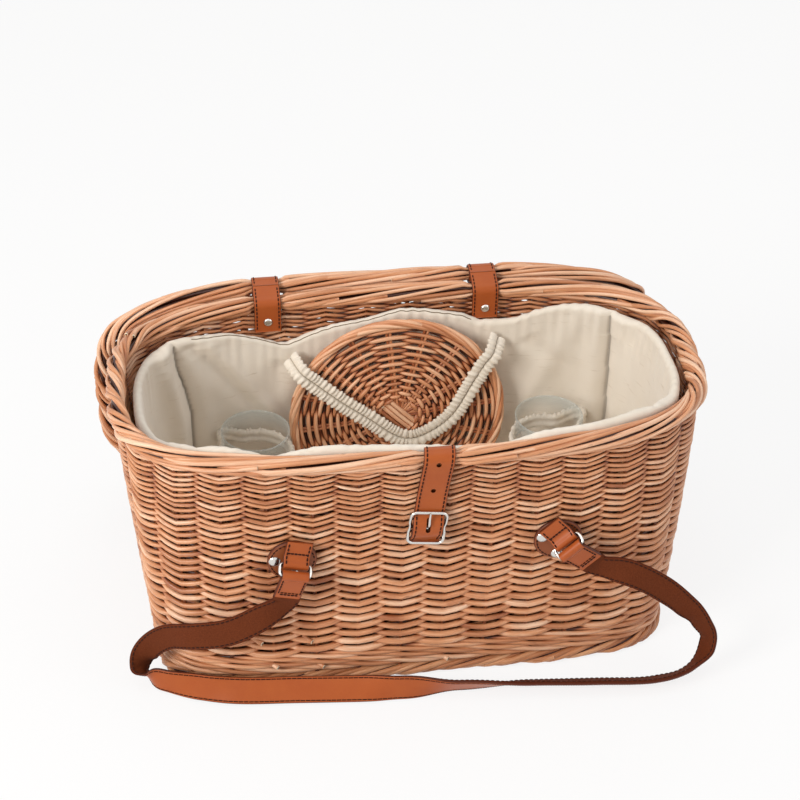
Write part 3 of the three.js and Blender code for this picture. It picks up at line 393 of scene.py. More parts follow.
def rounded(width: float, thickness: float, corner: float) -> Array:
    """A flat section with rounded corners, its smooth face on the out side.

    Args:
        width: its width.
        thickness: its thickness.
        corner: its corners' radius, if the thickness allows it.

    Returns:
        Its points as (side, out) pairs.
    """
    w, h = width / 2, thickness / 2
    corner = min(corner, h * 0.98)
    points = []
    for cx, cy, start in ((w, h, 0), (-w, h, 90), (-w, -h, 180), (w, -h, 270)):
        centre = (cx - math.copysign(corner, cx), cy - math.copysign(corner, cy))
        for step in range(5):
            a = math.radians(start + step * 22.5)
            points.append((centre[0] + corner * math.cos(a), centre[1] + corner * math.sin(a)))
        if cy > 0 and cx > 0:
            points += [(x, h) for x in np.linspace(w - corner, corner - w, 8)[1:-1]]
        if cy < 0 and cx < 0:
            points += [(x, -h) for x in np.linspace(corner - w, w - corner, 8)[1:-1]]
    return np.array(points)


def spline(points: Sequence[Sequence[float]], steps: int) -> Array:
    """Points of a centripetal Catmull-Rom curve, as many to each span.

    Args:
        points: what the curve passes.
        steps: how many points in all, less one.

    Returns:
        steps + 1 points.
    """
    p = np.asarray(points, float)
    p = np.concatenate([[2 * p[0] - p[1]], p, [2 * p[-1] - p[-2]]])
    out = []
    spans = len(p) - 3
    for i in range(steps + 1):
        where = i / steps * spans
        k = min(spans - 1, int(where))
        w = where - k
        x0, x1, x2, x3 = p[k : k + 4]
        spans_here = ((x0, x1), (x1, x2), (x2, x3))
        d0, d1, d2 = (max(1e-6, float(np.sum((b - a) ** 2)) ** 0.25) for a, b in spans_here)
        t1 = ((x1 - x0) / d0 - (x2 - x0) / (d0 + d1) + (x2 - x1) / d1) * d1
        t2 = ((x2 - x1) / d1 - (x3 - x1) / (d1 + d2) + (x3 - x2) / d2) * d1
        out.append(x1 + t1 * w + (-3 * x1 + 3 * x2 - 2 * t1 - t2) * w**2 + (2 * x1 - 2 * x2 + t1 + t2) * w**3)
    return np.array(out)


def resample(path: Array, spacing: float) -> Array:
    """The same path with points about spacing apart.

    Args:
        path: the path.
        spacing: about how far apart its points are to be.

    Returns:
        The new points.
    """
    run = travelled(path)
    count = max(2, int(round(run[-1] / spacing)) + 1)
    return at_lengths(np.linspace(0, run[-1], count), run, path)


def add_rod(
    shape: Shape, path: Array, radius: Array | float, out: Array, rng: Random, closed: bool = False,
    sides: int = 8, tone: Array | float | None = None, cut: tuple[bool, bool] = (False, False),
    depth: Array | None = None
) -> None:
    """Adds one willow rod to a shape.

    Args:
        shape: what it is added to.
        path: the rod's middle.
        radius: its radius, or one for each point.
        out: the way it faces.
        rng: where its shade comes from.
        closed: whether it joins up.
        sides: points round it.
        tone: its shade, or one for each point.
        cut: whether its start and its end show pale cut wood.
        depth: how far its points lie from a weave's middle, where painted shade darkens the wood.
    """
    radius = np.broadcast_to(np.asarray(radius, float), (len(path),))
    points, quads, caps = sweep(path, circle(radius, sides), out, closed)
    run = travelled(path)
    around = np.arange(sides) / sides * TURN
    mark = rng.uniform(0, 900)
    across = np.tile(circle(GRAIN_RADIUS, sides), (len(path), 1)) + (mark, 0)
    grain = np.column_stack([np.repeat(run, sides), across])
    shade = rng.uniform(0, 1) if tone is None else tone
    shade = np.repeat(np.broadcast_to(shade, (len(path),)), sides)
    # painted shade: a rod is darker where it lies deep in the weave's middle
    if depth is not None:
        away = np.abs(depth[:, None] + radius[:, None] * np.sin(around)).ravel()
        shade = shade - SHADOW_DEPTH * (1 - smooth(away / SHADOW_REACH))
    shape.add(points, quads, caps, grain, shade)
    for end, shows in zip((0, -1), cut):
        if shows:
            ring = points[:sides] if end == 0 else points[-sides:]
            middle = ring.mean(axis=0)
            away = unit(path[0] - path[1]) if end == 0 else unit(path[-1] - path[-2])
            dome = middle + (ring - middle) * 0.5 + away * 0.3
            rings = np.concatenate([ring, ring + away * 0.15, dome])
            faces = grid_faces(3, sides, False)
            cap = np.arange(sides) + 2 * sides
            if end == 0:
                faces, cap = faces[:, ::-1], cap[::-1]
            pale = np.repeat([0.6, 1.0, 1.0], sides)
            shape.add(rings, faces, [cap[::-1]], rings.copy(), 0.9, pale)


class Socket:
    """A shader value that can be used in sums."""

    def __init__(self, tree: "Tree", socket: object) -> None:
        """Wraps a socket of a tree."""
        self.tree = tree
        self.socket = socket

    def _sum(self, operation: str, *others: object, first: object = None) -> "Socket":
        """Adds one Math node for an operation on this value and others."""
        values = [self if first is None else first, *others]
        return self.tree.node("ShaderNodeMath", {"operation": operation}, dict(enumerate(values)))

    def __add__(self, other: object) -> "Socket":
        """This value and another added."""
        return self._sum("ADD", other)

    __radd__ = __add__

    def __mul__(self, other: object) -> "Socket":
        """This value times another."""
        return self._sum("MULTIPLY", other)

    __rmul__ = __mul__

    def __sub__(self, other: object) -> "Socket":
        """This value less another."""
        return self._sum("SUBTRACT", other)

    def __rsub__(self, other: object) -> "Socket":
        """Another value less this one."""
        return self._sum("SUBTRACT", self, first=other)

    def __pow__(self, other: object) -> "Socket":
        """This value to a power."""
        return self._sum("POWER", other)

    def most(self, other: object) -> "Socket":
        """The greater of this value and another."""
        return self._sum("MAXIMUM", other)

    def clamp(self) -> "Socket":
        """This value held between 0 and 1.

        Returns:
            The held value.
        """
        held = self._sum("ADD", 0.0)
        held.socket.node.use_clamp = True
        return held


class Tree:
    """The nodes of one material or of the world."""

    def __init__(self, owner: bpy.types.ID) -> None:
        """Turns on the nodes of a material or a world.

        Args:
            owner: the material or the world.
        """
        owner.use_nodes = True
        self.made = owner
        self.nodes = owner.node_tree.nodes
        self.links = owner.node_tree.links
        self.surface = self.nodes.get("Principled BSDF")

    def node(
        self, kind: str, settings: dict | None = None, inputs: dict | None = None, output: object = 0
    ) -> Socket:
        """Adds a node.

        Args:
            kind: the node's type.
            settings: its settings, and a ramp's stops under "stops".
            inputs: values or links of its sockets, by name or number.
            output: the output that is wanted.

        Returns:
            The output.
        """
        made = self.nodes.new(kind)
        for key, value in (settings or {}).items():
            if key == "stops":
                self._stops(made.color_ramp.elements, value)
            else:
                setattr(made, key, value)
        for key, value in (inputs or {}).items():
            self.feed(made.inputs[key], value)
        return Socket(self, made.outputs[output])

    @staticmethod
    def _stops(elements: bpy.types.ColorRampElements, stops: Sequence[tuple[float, tuple]]) -> None:
        """Gives a ramp its stops.

        Args:
            elements: the ramp's own stops.
            stops: places and their colours.
        """
        while len(elements) < len(stops):
            elements.new(0.5)
        for element, (place, colour) in zip(elements, stops):
            element.position = place
            element.color = (*colour, 1.0)

    def feed(self, socket: bpy.types.NodeSocket, value: object) -> None:
        """Sets or links one input.

        Args:
            socket: the input.
            value: a value of this script's own kind, a colour or a plain value.
        """
        if isinstance(value, Socket):
            self.links.new(value.socket, socket)
        elif isinstance(value, tuple) and len(value) == 3 and socket.type == "RGBA":
            socket.default_value = (*value, 1.0)
        else:
            socket.default_value = value

    def set(self, **inputs: object) -> None:
        """Sets the surface's inputs, with _ for a space in their names."""
        for key, value in inputs.items():
            self.feed(self.surface.inputs[key.replace("_", " ")], value)

    def seen(self, share: float) -> Socket:
        """A share for rays of the camera, and of metal and glass, and 0 for the others.

        Args:
            share: the value for those rays.

        Returns:
            The value for each ray.
        """
        kinds = ("Camera", "Glossy", "Transmission")
        camera, metal, glass = (self.node("ShaderNodeLightPath", output=f"Is {kind} Ray") for kind in kinds)
        return camera.most(metal).most(glass) * share

    def shown(self, hidden: Socket, straight: Socket, share: float) -> None:
        """Makes one surface of two: one that lights, and one that is seen straight or in metal and glass.

        Args:
            hidden: what all other rays meet.
            straight: what the seen rays meet.
            share: how much of it they meet.
        """
        both = self.node("ShaderNodeMixShader", None, {0: self.seen(share), 1: hidden, 2: straight})
        ends = (node for node in self.nodes if node.bl_idname.startswith("ShaderNodeOutput"))
        self.links.new(both.socket, next(ends).inputs["Surface"])

    def value(self, label: str) -> Socket:
        """A point value of the mesh."""
        return self.node("ShaderNodeAttribute", {"attribute_name": label}, output="Fac")

    def vector(self, label: str) -> Socket:
        """A point vector of the mesh."""
        return self.node("ShaderNodeAttribute", {"attribute_name": label}, output="Vector")

    def place(self) -> Socket:
        """The point's own place in the object, in metres."""
        return self.node("ShaderNodeTexCoord", output="Object")

    def scaled(self, vector: Socket, scale: tuple[float, float, float]) -> Socket:
        """A vector stretched along its axes."""
        return self.node("ShaderNodeVectorMath", {"operation": "MULTIPLY"}, {0: vector, 1: scale})

    def noise(self, vector: Socket, scale: float, detail: float = 3.0, roughness: float = 0.55) -> Socket:
        """A noise from 0 to 1 over a vector."""
        inputs = {"Vector": vector, "Scale": scale, "Detail": detail, "Roughness": roughness}
        return self.node("ShaderNodeTexNoise", None, inputs)

    def blend(self, factor: object, a: object, b: object) -> Socket:
        """Two colours mixed."""
        return self.node("ShaderNodeMix", {"data_type": "RGBA"}, {0: factor, 6: a, 7: b}, output=2)

    def ramp(self, value: Socket, *stops: tuple[float, tuple]) -> Socket:
        """A colour ramp over a value, its stops as places and colours."""
        return self.node("ShaderNodeValToRGB", {"stops": stops}, {"Fac": value})

    def bump(self, height: Socket, strength: float, distance: float) -> Socket:
        """A bumped normal from a height, its distance in metres."""
        inputs = {"Height": height, "Strength": strength, "Distance": distance}
        return self.node("ShaderNodeBump", None, inputs)


def tint(red: int, green: int, blue: int) -> tuple[float, float, float]:
    """A screen colour of 0 to 255 as the linear values that shaders take.

    Args:
        red: its red.
        green: its green.
        blue: its blue.

    Returns:
        The linear values.
    """
    def linear(c: int) -> float:
        """One channel made linear."""
        v = c / 255
        return v / 12.92 if v <= 0.04045 else ((v + 0.055) / 1.055) ** 2.4
    return linear(red), linear(green), linear(blue)


class Finish:
    """What a piece is made of. Its material is made once."""

    name = "plain"
    slot: str | None = None
    made: dict = {}

    def material(self) -> bpy.types.Material:
        """The material, made the first time that it is asked for.

        Returns:
            The material.
        """
        if self not in Finish.made:
            tree = Tree(bpy.data.materials.new(self.name))
            self.dress(tree)
            Finish.made[self] = tree.made
        return Finish.made[self]

    def dress(self, tree: Tree) -> None:
        """Builds the surface's nodes."""
        raise NotImplementedError


@dataclass(frozen=True)
class Willow(Finish):
    """Peeled willow rod: streaks along it, a shade for each rod, pale cut ends."""

    slot = "willow"
    name: str = "willow"
    dark: tuple = tint(152, 82, 42)
    middle: tuple = tint(214, 150, 106)
    light: tuple = tint(250, 216, 186)
    roughness: float = 0.38

    def dress(self, tree: Tree) -> None:
        """Streaks, blotches and a fine bark-like bump along each rod.

        Args:
            tree: the material's nodes.
        """
        grain = tree.vector("grain")
        tone = tree.value("tone")
        streak = tree.noise(tree.scaled(grain, (0.035, 0.9, 0.9)), 1.6, 4.0, 0.6)
        blotch = tree.noise(tree.scaled(grain, (0.018, 0.25, 0.25)), 1.0, 2.0)
        fine = tree.noise(tree.scaled(grain, (0.12, 3.0, 3.0)), 2.0, 3.0, 0.65)
        shade = tone * 0.34 + streak * 0.42 + blotch * 0.42 + fine * 0.12 - 0.14
        # the darkest stop is painted shade, for tones pushed below 0
        stops = (0.0, tint(60, 24, 10)), (0.2, self.dark), (0.5, self.middle), (0.8, self.light)
        wood = tree.ramp(shade, *stops)
        knots = tree.noise(tree.scaled(grain, (0.07, 0.3, 0.3)), 1.0, 1.0)
        speck = (knots * 9.0 - 6.3).clamp()
        wood = tree.blend(speck * 0.55, wood, tint(120, 66, 36))
        wood = tree.blend(tree.value("pale"), wood, tint(238, 216, 186))
        tree.set(Base_Color=wood, Roughness=fine * 0.25 + (self.roughness - 0.1), Specular_IOR_Level=0.45)
        tree.set(Coat_Weight=0.2, Coat_Roughness=0.3)
        tree.set(Normal=tree.bump(fine + streak * 0.7, 0.35, 0.0004))


@dataclass(frozen=True)
class Hide(Finish):
    """Tan leather, smooth outside and suede inside, its edges dyed."""

    slot = "leather"
    name: str = "hide"
    smooth: tuple = tint(164, 78, 34)
    warm: tuple = tint(178, 92, 42)
    suede: tuple = tint(80, 36, 16)

    def dress(self, tree: Tree) -> None:
        """Pores on the smooth face and nap on the suede one, by the mesh's pale value.

        Args:
            tree: the material's nodes.
        """
        place = tree.place()
        cloud = tree.noise(place, 55.0, 3.0)
        pores = tree.noise(place, 1500.0, 2.0, 0.6)
        nap = tree.noise(place, 900.0, 5.0, 0.75)
        creases = tree.noise(tree.scaled(place, (1.0, 1.0, 0.4)), 240.0, 4.0, 0.6)
        outside = tree.blend(cloud, self.smooth, self.warm)
        outside = tree.blend((pores - 0.35).clamp() * 0.35, outside, tint(126, 60, 30))
        inside = tree.blend((nap * 1.6 - 0.4).clamp(), self.suede, tint(118, 58, 30))
        face = tree.value("pale")
        colour = tree.blend(face, outside, inside)
        edge = tree.value("tone")
        colour = tree.blend(edge, colour, tint(82, 36, 20))
        tree.set(Base_Color=colour, Roughness=face * 0.42 + creases * 0.14 + 0.34)
        tree.set(Specular_IOR_Level=0.12, Coat_Weight=(1 - face) * 0.28, Coat_Roughness=0.34)
        height = pores * 0.35 + creases * 0.5 + (nap * face) * 1.6
        tree.set(Normal=tree.bump(height, 0.3, 0.0003))


@dataclass(frozen=True)
class Thread(Finish):
    """Dark waxed sewing thread."""

    name: str = "thread"
    colour: tuple = tint(36, 18, 16)

    def dress(self, tree: Tree) -> None:
        """A twisted dark thread.

        Args:
            tree: the material's nodes.
        """
        twist = tree.noise(tree.place(), 2600.0, 2.0)
        colour = tree.blend(twist * 0.6, self.colour, tint(84, 48, 36))
        tree.set(Base_Color=colour, Roughness=0.75, Specular_IOR_Level=0.1)
        tree.set(Normal=tree.bump(twist, 0.4, 0.0002))


@dataclass(frozen=True)
class Cotton(Finish):
    """Unbleached cotton cloth in a plain weave."""

    slot = "cotton"
    name: str = "cotton"
    pale: tuple = tint(238, 230, 218)
    deep: tuple = tint(226, 215, 199)
    weave: float = 1250.0

    def dress(self, tree: Tree) -> None:
        """Fine threads both ways, slubs, and painted shade in the pleats, in the seams' creases and on the
        outer face.

        Args:
            tree: the material's nodes.
        """
        place = tree.place()
        warp = tree.noise(tree.scaled(place, (1.0, 1.0, 0.08)), self.weave, 2.0)
        weft = tree.noise(tree.scaled(place, (0.08, 0.08, 1.0)), self.weave, 2.0)
        cloud = tree.noise(place, 18.0, 3.0)
        slub = tree.noise(tree.scaled(place, (0.15, 0.15, 1.0)), 320.0, 3.0, 0.6)
        threads = warp * 0.5 + weft * 0.5
        colour = tree.blend((cloud * 1.3 - 0.25).clamp(), self.deep, self.pale)
        colour = tree.blend((threads - 0.25).clamp() * 0.35, colour, tint(242, 234, 218))
        colour = tree.blend((slub * 5.0 - 3.1).clamp() * 0.4, colour, tint(176, 156, 124))
        # painted shade in the hollows of the gathered pleats, carried by the pale value
        colour = tree.blend(tree.value("pale"), colour, tint(132, 116, 92))
        # painted shade: the lining's outer face and its seams' creases are darkened by the tone value
        colour = tree.blend(tree.value("tone"), colour, tint(64, 36, 22))
        tree.set(Base_Color=colour, Roughness=0.88, Specular_IOR_Level=0.25)
        tree.set(Sheen_Weight=0.25, Sheen_Roughness=0.5)
        tree.set(Normal=tree.bump(threads + slub * 0.4, 0.35, 0.0003))


@dataclass(frozen=True)
class Nickel(Finish):
    """Polished nickel plate on steel."""

    slot = "nickel"
    name: str = "nickel"

    def dress(self, tree: Tree) -> None:
        """A bright metal with faint scuffs.

        Args:
            tree: the material's nodes.
        """
        scuff = tree.noise(tree.place(), 420.0, 4.0, 0.6)
        tree.set(Base_Color=tint(214, 211, 206), Metallic=1.0, Roughness=scuff * 0.16 + 0.12)
        tree.set(Normal=tree.bump(scuff, 0.08, 0.0002))


@dataclass(frozen=True)
class Tumbler(Finish):
    """Clear pressed glass."""

    slot = "glass"
    name: str = "glass"

    def dress(self, tree: Tree) -> None:
        """Clear glass, denser towards its edges and at its lip.

        Args:
            tree: the material's nodes.
        """
        wave = tree.noise(tree.place(), 60.0, 2.0)
        edge = tree.node("ShaderNodeLayerWeight", None, {"Blend": 0.4}, output="Facing")
        tree.set(Base_Color=tint(196, 206, 204), Roughness=0.03, Specular_IOR_Level=1.0)
        tree.set(Alpha=(edge**7.0) * 0.5 + (tree.value("pale") * 0.34 + 0.002))
        tree.set(Normal=tree.bump(wave, 0.05, 0.0005))


WILLOW = Willow()
SHADED_WILLOW = Willow("shaded_willow", tint(142, 80, 44), tint(192, 128, 84), tint(220, 168, 126))
TRAY_WILLOW = Willow("tray_willow", tint(150, 76, 38), tint(218, 152, 108), tint(250, 212, 178))
HIDE = Hide()
DARK_HIDE = Hide("dark_hide", tint(134, 70, 38), tint(150, 82, 44), tint(104, 54, 32))
THREAD = Thread()
HEM_THREAD = Thread("hem_thread", tint(150, 138, 116))
COTTON = Cotton()
NICKEL = Nickel()
GLASS = Tumbler()


def strip(
    shape: Shape, path: Array, width: float, thickness: float, out: Array, outer: Face = Face.SMOOTH
) -> None:
    """Adds a strip of leather with a smooth and a suede face.

    Args:
        shape: what it is added to.
        path: its middle.
        width: its width.
        thickness: its thickness.
        out: the way its outer face looks, one vector or one for each point.
        outer: which face is the outer one.
    """
    section = rounded(width, thickness, thickness * 0.42)
    suede = (section[:, 1] < 0) if outer is Face.SMOOTH else (section[:, 1] > 0)
    flank = np.clip((np.abs(section[:, 0]) - width / 2 + thickness * 0.36) / (thickness * 0.2), 0, 1)
    edge = np.where(np.abs(section[:, 1]) < thickness * 0.42, 1.0, flank * 0.35)
    count = len(path)
    grain = np.column_stack([np.repeat(travelled(path), len(section)), np.tile(section, (count, 1))])
    shape.add(*sweep(path, section, out), grain, np.tile(edge, count), np.tile(suede.astype(float), count))


def stitches(
    shape: Shape, path: Array, out: Array, side: float, lift: float, pitch: float = 4.3,
    radius: float = 0.52, margin: float = 2.0
) -> None:
    """Adds a row of stitches along a path.

    Args:
        shape: what they are added to.
        path: the strip's middle.
        out: the way the sewn face looks.
        side: how far the row lies to the side of the middle.
        lift: how far the face lies from the middle.
        pitch: from one stitch to the next.
        radius: the thread's radius.
        margin: what stays bare at both ends.
    """
    tangent = unit(np.gradient(path, axis=0))
    out = np.broadcast_to(out, path.shape)
    across = unit(np.cross(tangent, out))
    face = np.cross(across, tangent)
    line = path + across * side + face * lift
    run = travelled(line)
    count = int((run[-1] - 2 * margin) / pitch)
    if count < 1:
        return
    starts = margin + (run[-1] - 2 * margin - count * pitch) / 2 + np.arange(count) * pitch
    rise = np.array([-0.55, 0.06, 0.2, 0.06, -0.55]) * radius * 1.6
    size = np.array([0.8, 1.1, 1.2, 1.1, 0.8]) * radius
    for start in starts:
        want = start + np.array([0.1, 0.22, 0.5, 0.78, 0.9]) * pitch
        up = unit(at_lengths(want, run, face))
        at = at_lengths(want, run, line) + up * rise[:, None]
        shape.sweep(at, circle(size, 6), up)


def seams(shape: Shape, path: Array, out: Array, inset: float, lift: float, *sizes: float) -> None:
    """Adds a row of stitches on both sides of a strip's middle.

    Args:
        shape: what they are added to.
        path: the strip's middle.
        out: the way the sewn face looks.
        inset: how far each row lies from the middle.
        lift: how far the face lies from the middle.
        sizes: the rows' pitch, radius and margin.
    """
    for side in (-1, 1):
        stitches(shape, path, out, side * inset, lift, *sizes)


def lathe(
    shape: Shape, profile: Sequence[Pair], centre: Sequence[float], axis: Sequence[float], sides: int
) -> None:
    """Adds a turned form.

    Args:
        shape: what it is added to.
        profile: (radius, height) pairs from one end of the axis to the other.
        centre: where height 0 lies.
        axis: the way height grows.
        sides: points round it.
    """
    w = unit(np.asarray(axis, float))
    u = unit(np.cross(w, (0.3, 0.5, 0.81) if abs(w[2]) < 0.9 else (1.0, 0.0, 0.0)))
    v = np.cross(w, u)
    t = np.arange(sides) / sides * TURN
    ring = np.cos(t)[:, None] * u + np.sin(t)[:, None] * v
    rows = [np.asarray(centre) + ring * max(r, 0.02) + w * h for r, h in profile]
    points = np.concatenate(rows)
    quads = grid_faces(len(rows), sides, False)[:, ::-1]
    last = (len(rows) - 1) * sides
    shape.add(points, quads, [np.arange(sides)[::-1], np.arange(sides) + last])


def arc(centre: Sequence[float], radius: float, start: float, end: float, step: float = 6.0) -> list[Pair]:
    """Points of an arc in the (y, z) plane.

    Args:
        centre: its middle.
        radius: its radius.
        start: the angle where it starts, in degrees.
        end: the angle where it ends.
        step: about how far apart its points are, in degrees.

    Returns:
        The points.
    """
    count = max(2, int(abs(end - start) / step) + 1)
    return [
        (centre[0] + radius * math.cos(math.radians(a)), centre[1] + radius * math.sin(math.radians(a)))
        for a in np.linspace(start, end, count)
    ]


def in_plane(line: Sequence[Pair], x: float = 0.0) -> Array:
    """Points in (y, z) as points in space at x."""
    return np.array([(x, y, z) for y, z in line])


def outward_of(path: Array, turn: int) -> Array:
    """The normals of a path in the (y, z) plane, to its left (1) or right (-1)."""
    tangent = unit(np.gradient(path, axis=0))
    return np.stack([np.zeros(len(path)), -tangent[:, 2] * turn, tangent[:, 1] * turn], axis=-1)


@dataclass
class Studio:
    """The camera, the pale floor and the soft light."""

    position: tuple = (-214.923701, -1338.514011, 1187.599995)
    right: tuple = (0.989582, -0.142999, 0.016723)
    up: tuple = (0.070193, 0.58061, 0.81115)
    forward: tuple = (0.125703, 0.801525, -0.584599)
    lens: float = 87.721
    floor_size: float = 6.0
    floor_steps: int = 12
    floor_white: float = 0.82
    fill: float = 0.45

    def camera(self) -> None:
        """Makes the camera at the photograph's angle."""
        data = bpy.data.cameras.new("camera")
        data.sensor_width = 36.0
        data.lens = self.lens
        data.clip_end = 50.0
        obj = bpy.data.objects.new("camera", data)
        bpy.context.scene.collection.objects.link(obj)
        axes = Matrix((self.right, self.up, tuple(-v for v in self.forward))).transposed().to_4x4()
        spot = (np.array(self.position) + SHIFT) * MM
        obj.matrix_world = Matrix.Translation(Vector(spot)) @ axes
        bpy.context.scene.camera = obj

    def light(
        self, name: str, where: tuple, size: float, power: float, colour: tuple = (1.0, 1.0, 1.0)
    ) -> None:
        """Adds one area light that looks at the basket.

        Args:
            name: its name.
            where: its place, in metres.
            size: its side, in metres.
            power: its power, in watts.
            colour: its colour.
        """
        data = bpy.data.lights.new(name, "AREA")
        data.shape = "SQUARE"
        data.size = size
        data.energy = power
        data.color = colour
        obj = bpy.data.objects.new(name, data)
        bpy.context.scene.collection.objects.link(obj)
        obj.location = where
        aim = Vector((0.0, 0.0, 0.12)) - Vector(where)
        obj.rotation_euler = aim.to_track_quat("-Z", "Y").to_euler()

    def world(self) -> None:
        """A white backdrop, with a dimmer light from all round."""
        bpy.context.scene.world = bpy.data.worlds.new("studio")
        tree = Tree(bpy.context.scene.world)
        tree.nodes.remove(tree.nodes["Background"])
        backdrop, fill = (
            tree.node("ShaderNodeBackground", None, {"Color": colour, "Strength": strength})
            for colour, strength in (((1.0, 1.0, 1.0), 1.0), ((1.0, 0.98, 0.96), self.fill))
        )
        tree.shown(fill, backdrop, 1.0)

    def floor(self) -> None:
        """A plain pale floor."""
        half = self.floor_size / 2
        steps = np.linspace(-half, half, self.floor_steps + 1)
        points = [(x, y, -0.0002) for x in steps for y in steps]
        row = self.floor_steps + 1
        corners = [i * row + j for i in range(self.floor_steps) for j in range(self.floor_steps)]
        mesh = bpy.data.meshes.new("floor")
        mesh.from_pydata(points, [], [(k, k + row, k + row + 1, k + 1) for k in corners])
        tree = Tree(bpy.data.materials.new("floor"))
        speckle = tree.noise(tree.place(), 3.0, 2.0)
        colour = tree.blend(speckle, (0.88, 0.88, 0.88), (0.92, 0.92, 0.92))
        tree.set(Base_Color=colour, Roughness=0.75, Specular_IOR_Level=0.2)
        lit = Socket(tree, tree.surface.outputs[0])
        tree.shown(lit, tree.node("ShaderNodeEmission"), self.floor_white)
        mesh.materials.append(tree.made)
        obj = bpy.data.objects.new("floor", mesh)
        bpy.context.scene.collection.objects.link(obj)

    def build(self) -> None:
        """Sets the studio up."""
        bpy.context.scene.view_settings.view_transform = "Standard"
        self.camera()
        self.world()
        self.floor()
        self.light("key", (-1.9, -1.35, 1.5), 1.0, 46.0, (1.0, 0.97, 0.93))
        self.light("side", (1.9, -0.6, 1.3), 1.6, 9.0)
        self.light("top", (-0.1, -0.1, 2.3), 1.5, 9.0)
        self.light("back", (0.3, 1.7, 1.9), 1.4, 5.0)


@dataclass
class ShoulderStrap:
    """The long strap, from one ring along the floor to the other."""

    steps: int = 300
    lead: float = 10.0
    stops: tuple = (
        ((-148, -134, 91), (-0.2, -0.85, 0.5)),
        ((-170, -132.5, 81), (-0.15, -0.85, 0.5)),
        ((-196, -124, 73), (-0.2, -0.85, 0.4)),
        ((-218, -107, 59), (-0.35, -0.85, 0.25)),
        ((-234, -97, 38), (-0.1, -0.9, 0.3)),
        ((-240, -96, 21), (0.5, -0.75, 0.35)),
        ((-236, -101, 12.8), (0.95, 0.1, 0.3)),
        ((-222, -109, 12), (0.5, 0.85, -0.1)),
        ((-190, -121, 11.2), (0.1, 0.85, -0.45)),
        ((-160, -128, 10.4), (0, 0.76, -0.65)),
        ((-110, -133, 10.2), (0, 0.73, -0.68)),
        ((-60, -138.5, 10.6), (0, 0.78, -0.6)),
        ((-20, -143.5, 12), (0, 0.95, -0.2)),
        ((30, -146, 11), (0, 0.85, 0.5)),
        ((90, -148.5, 9), (0, 0.62, 0.78)),
        ((146, -154, 8.8), (0, 0.59, 0.81)),
        ((200, -158, 9), (-0.03, 0.59, 0.81)),
        ((230, -153, 13.5), (-0.6, 0.5, 0.57)),
        ((246, -146, 34), (-0.88, -0.2, 0.1)),
        ((240, -144, 55), (-0.62, -0.72, -0.2)),
        ((222, -144, 79), (-0.29, -0.9, 0.1)),
        ((198, -142, 101), (-0.05, -0.92, 0.3)),
        ((172, -140, 117), (-0.1, -0.88, 0.42)),
    )

    def build(self, ends: dict) -> None:
        """Makes the strap between its two sewn ends.

        Args:
            ends: for each side, where the end stops, the way it points and the way its suede looks.
        """
        left, right = ends["left"], ends["right"]
        stops, looks = (np.array(values, float) for values in zip(*self.stops))
        first, last = (end.point + end.along * self.lead for end in (left, right))
        points = [left.point, first, *stops, last, right.point]
        faces = [left.suede, left.suede, *looks, right.suede, right.suede]
        path = spline(points, self.steps)
        where = np.linspace(0, len(points) - 1, self.steps + 1)
        low = np.minimum(where.astype(int), len(points) - 2)
        share = smooth(where - low)[:, None]
        faces = np.array(faces)
        out = faces[low] * (1 - share) + faces[low + 1] * share
        shape = Shape()
        strip(shape, path, STRAP_WIDTH, STRAP_THICKNESS, out, Face.SUEDE)
        obj = shape.mount("shoulder_strap_leather", HIDE, "basket", "shoulder_strap")
        sewn = Shape()
        for side in (-1, 1):
            for face in (-1, 1):
                row = side * (STRAP_WIDTH / 2 - 2.1)
                stitches(sewn, path, out, row, face * (STRAP_THICKNESS / 2 - SUNK), 4.4, 0.5, 6.0)
        thread = sewn.mount("shoulder_strap_stitches", THREAD, "basket")


@dataclass
class Waist:
    """Where leather holds a border in."""

    x: float
    side: int
    depth: float
    width: float


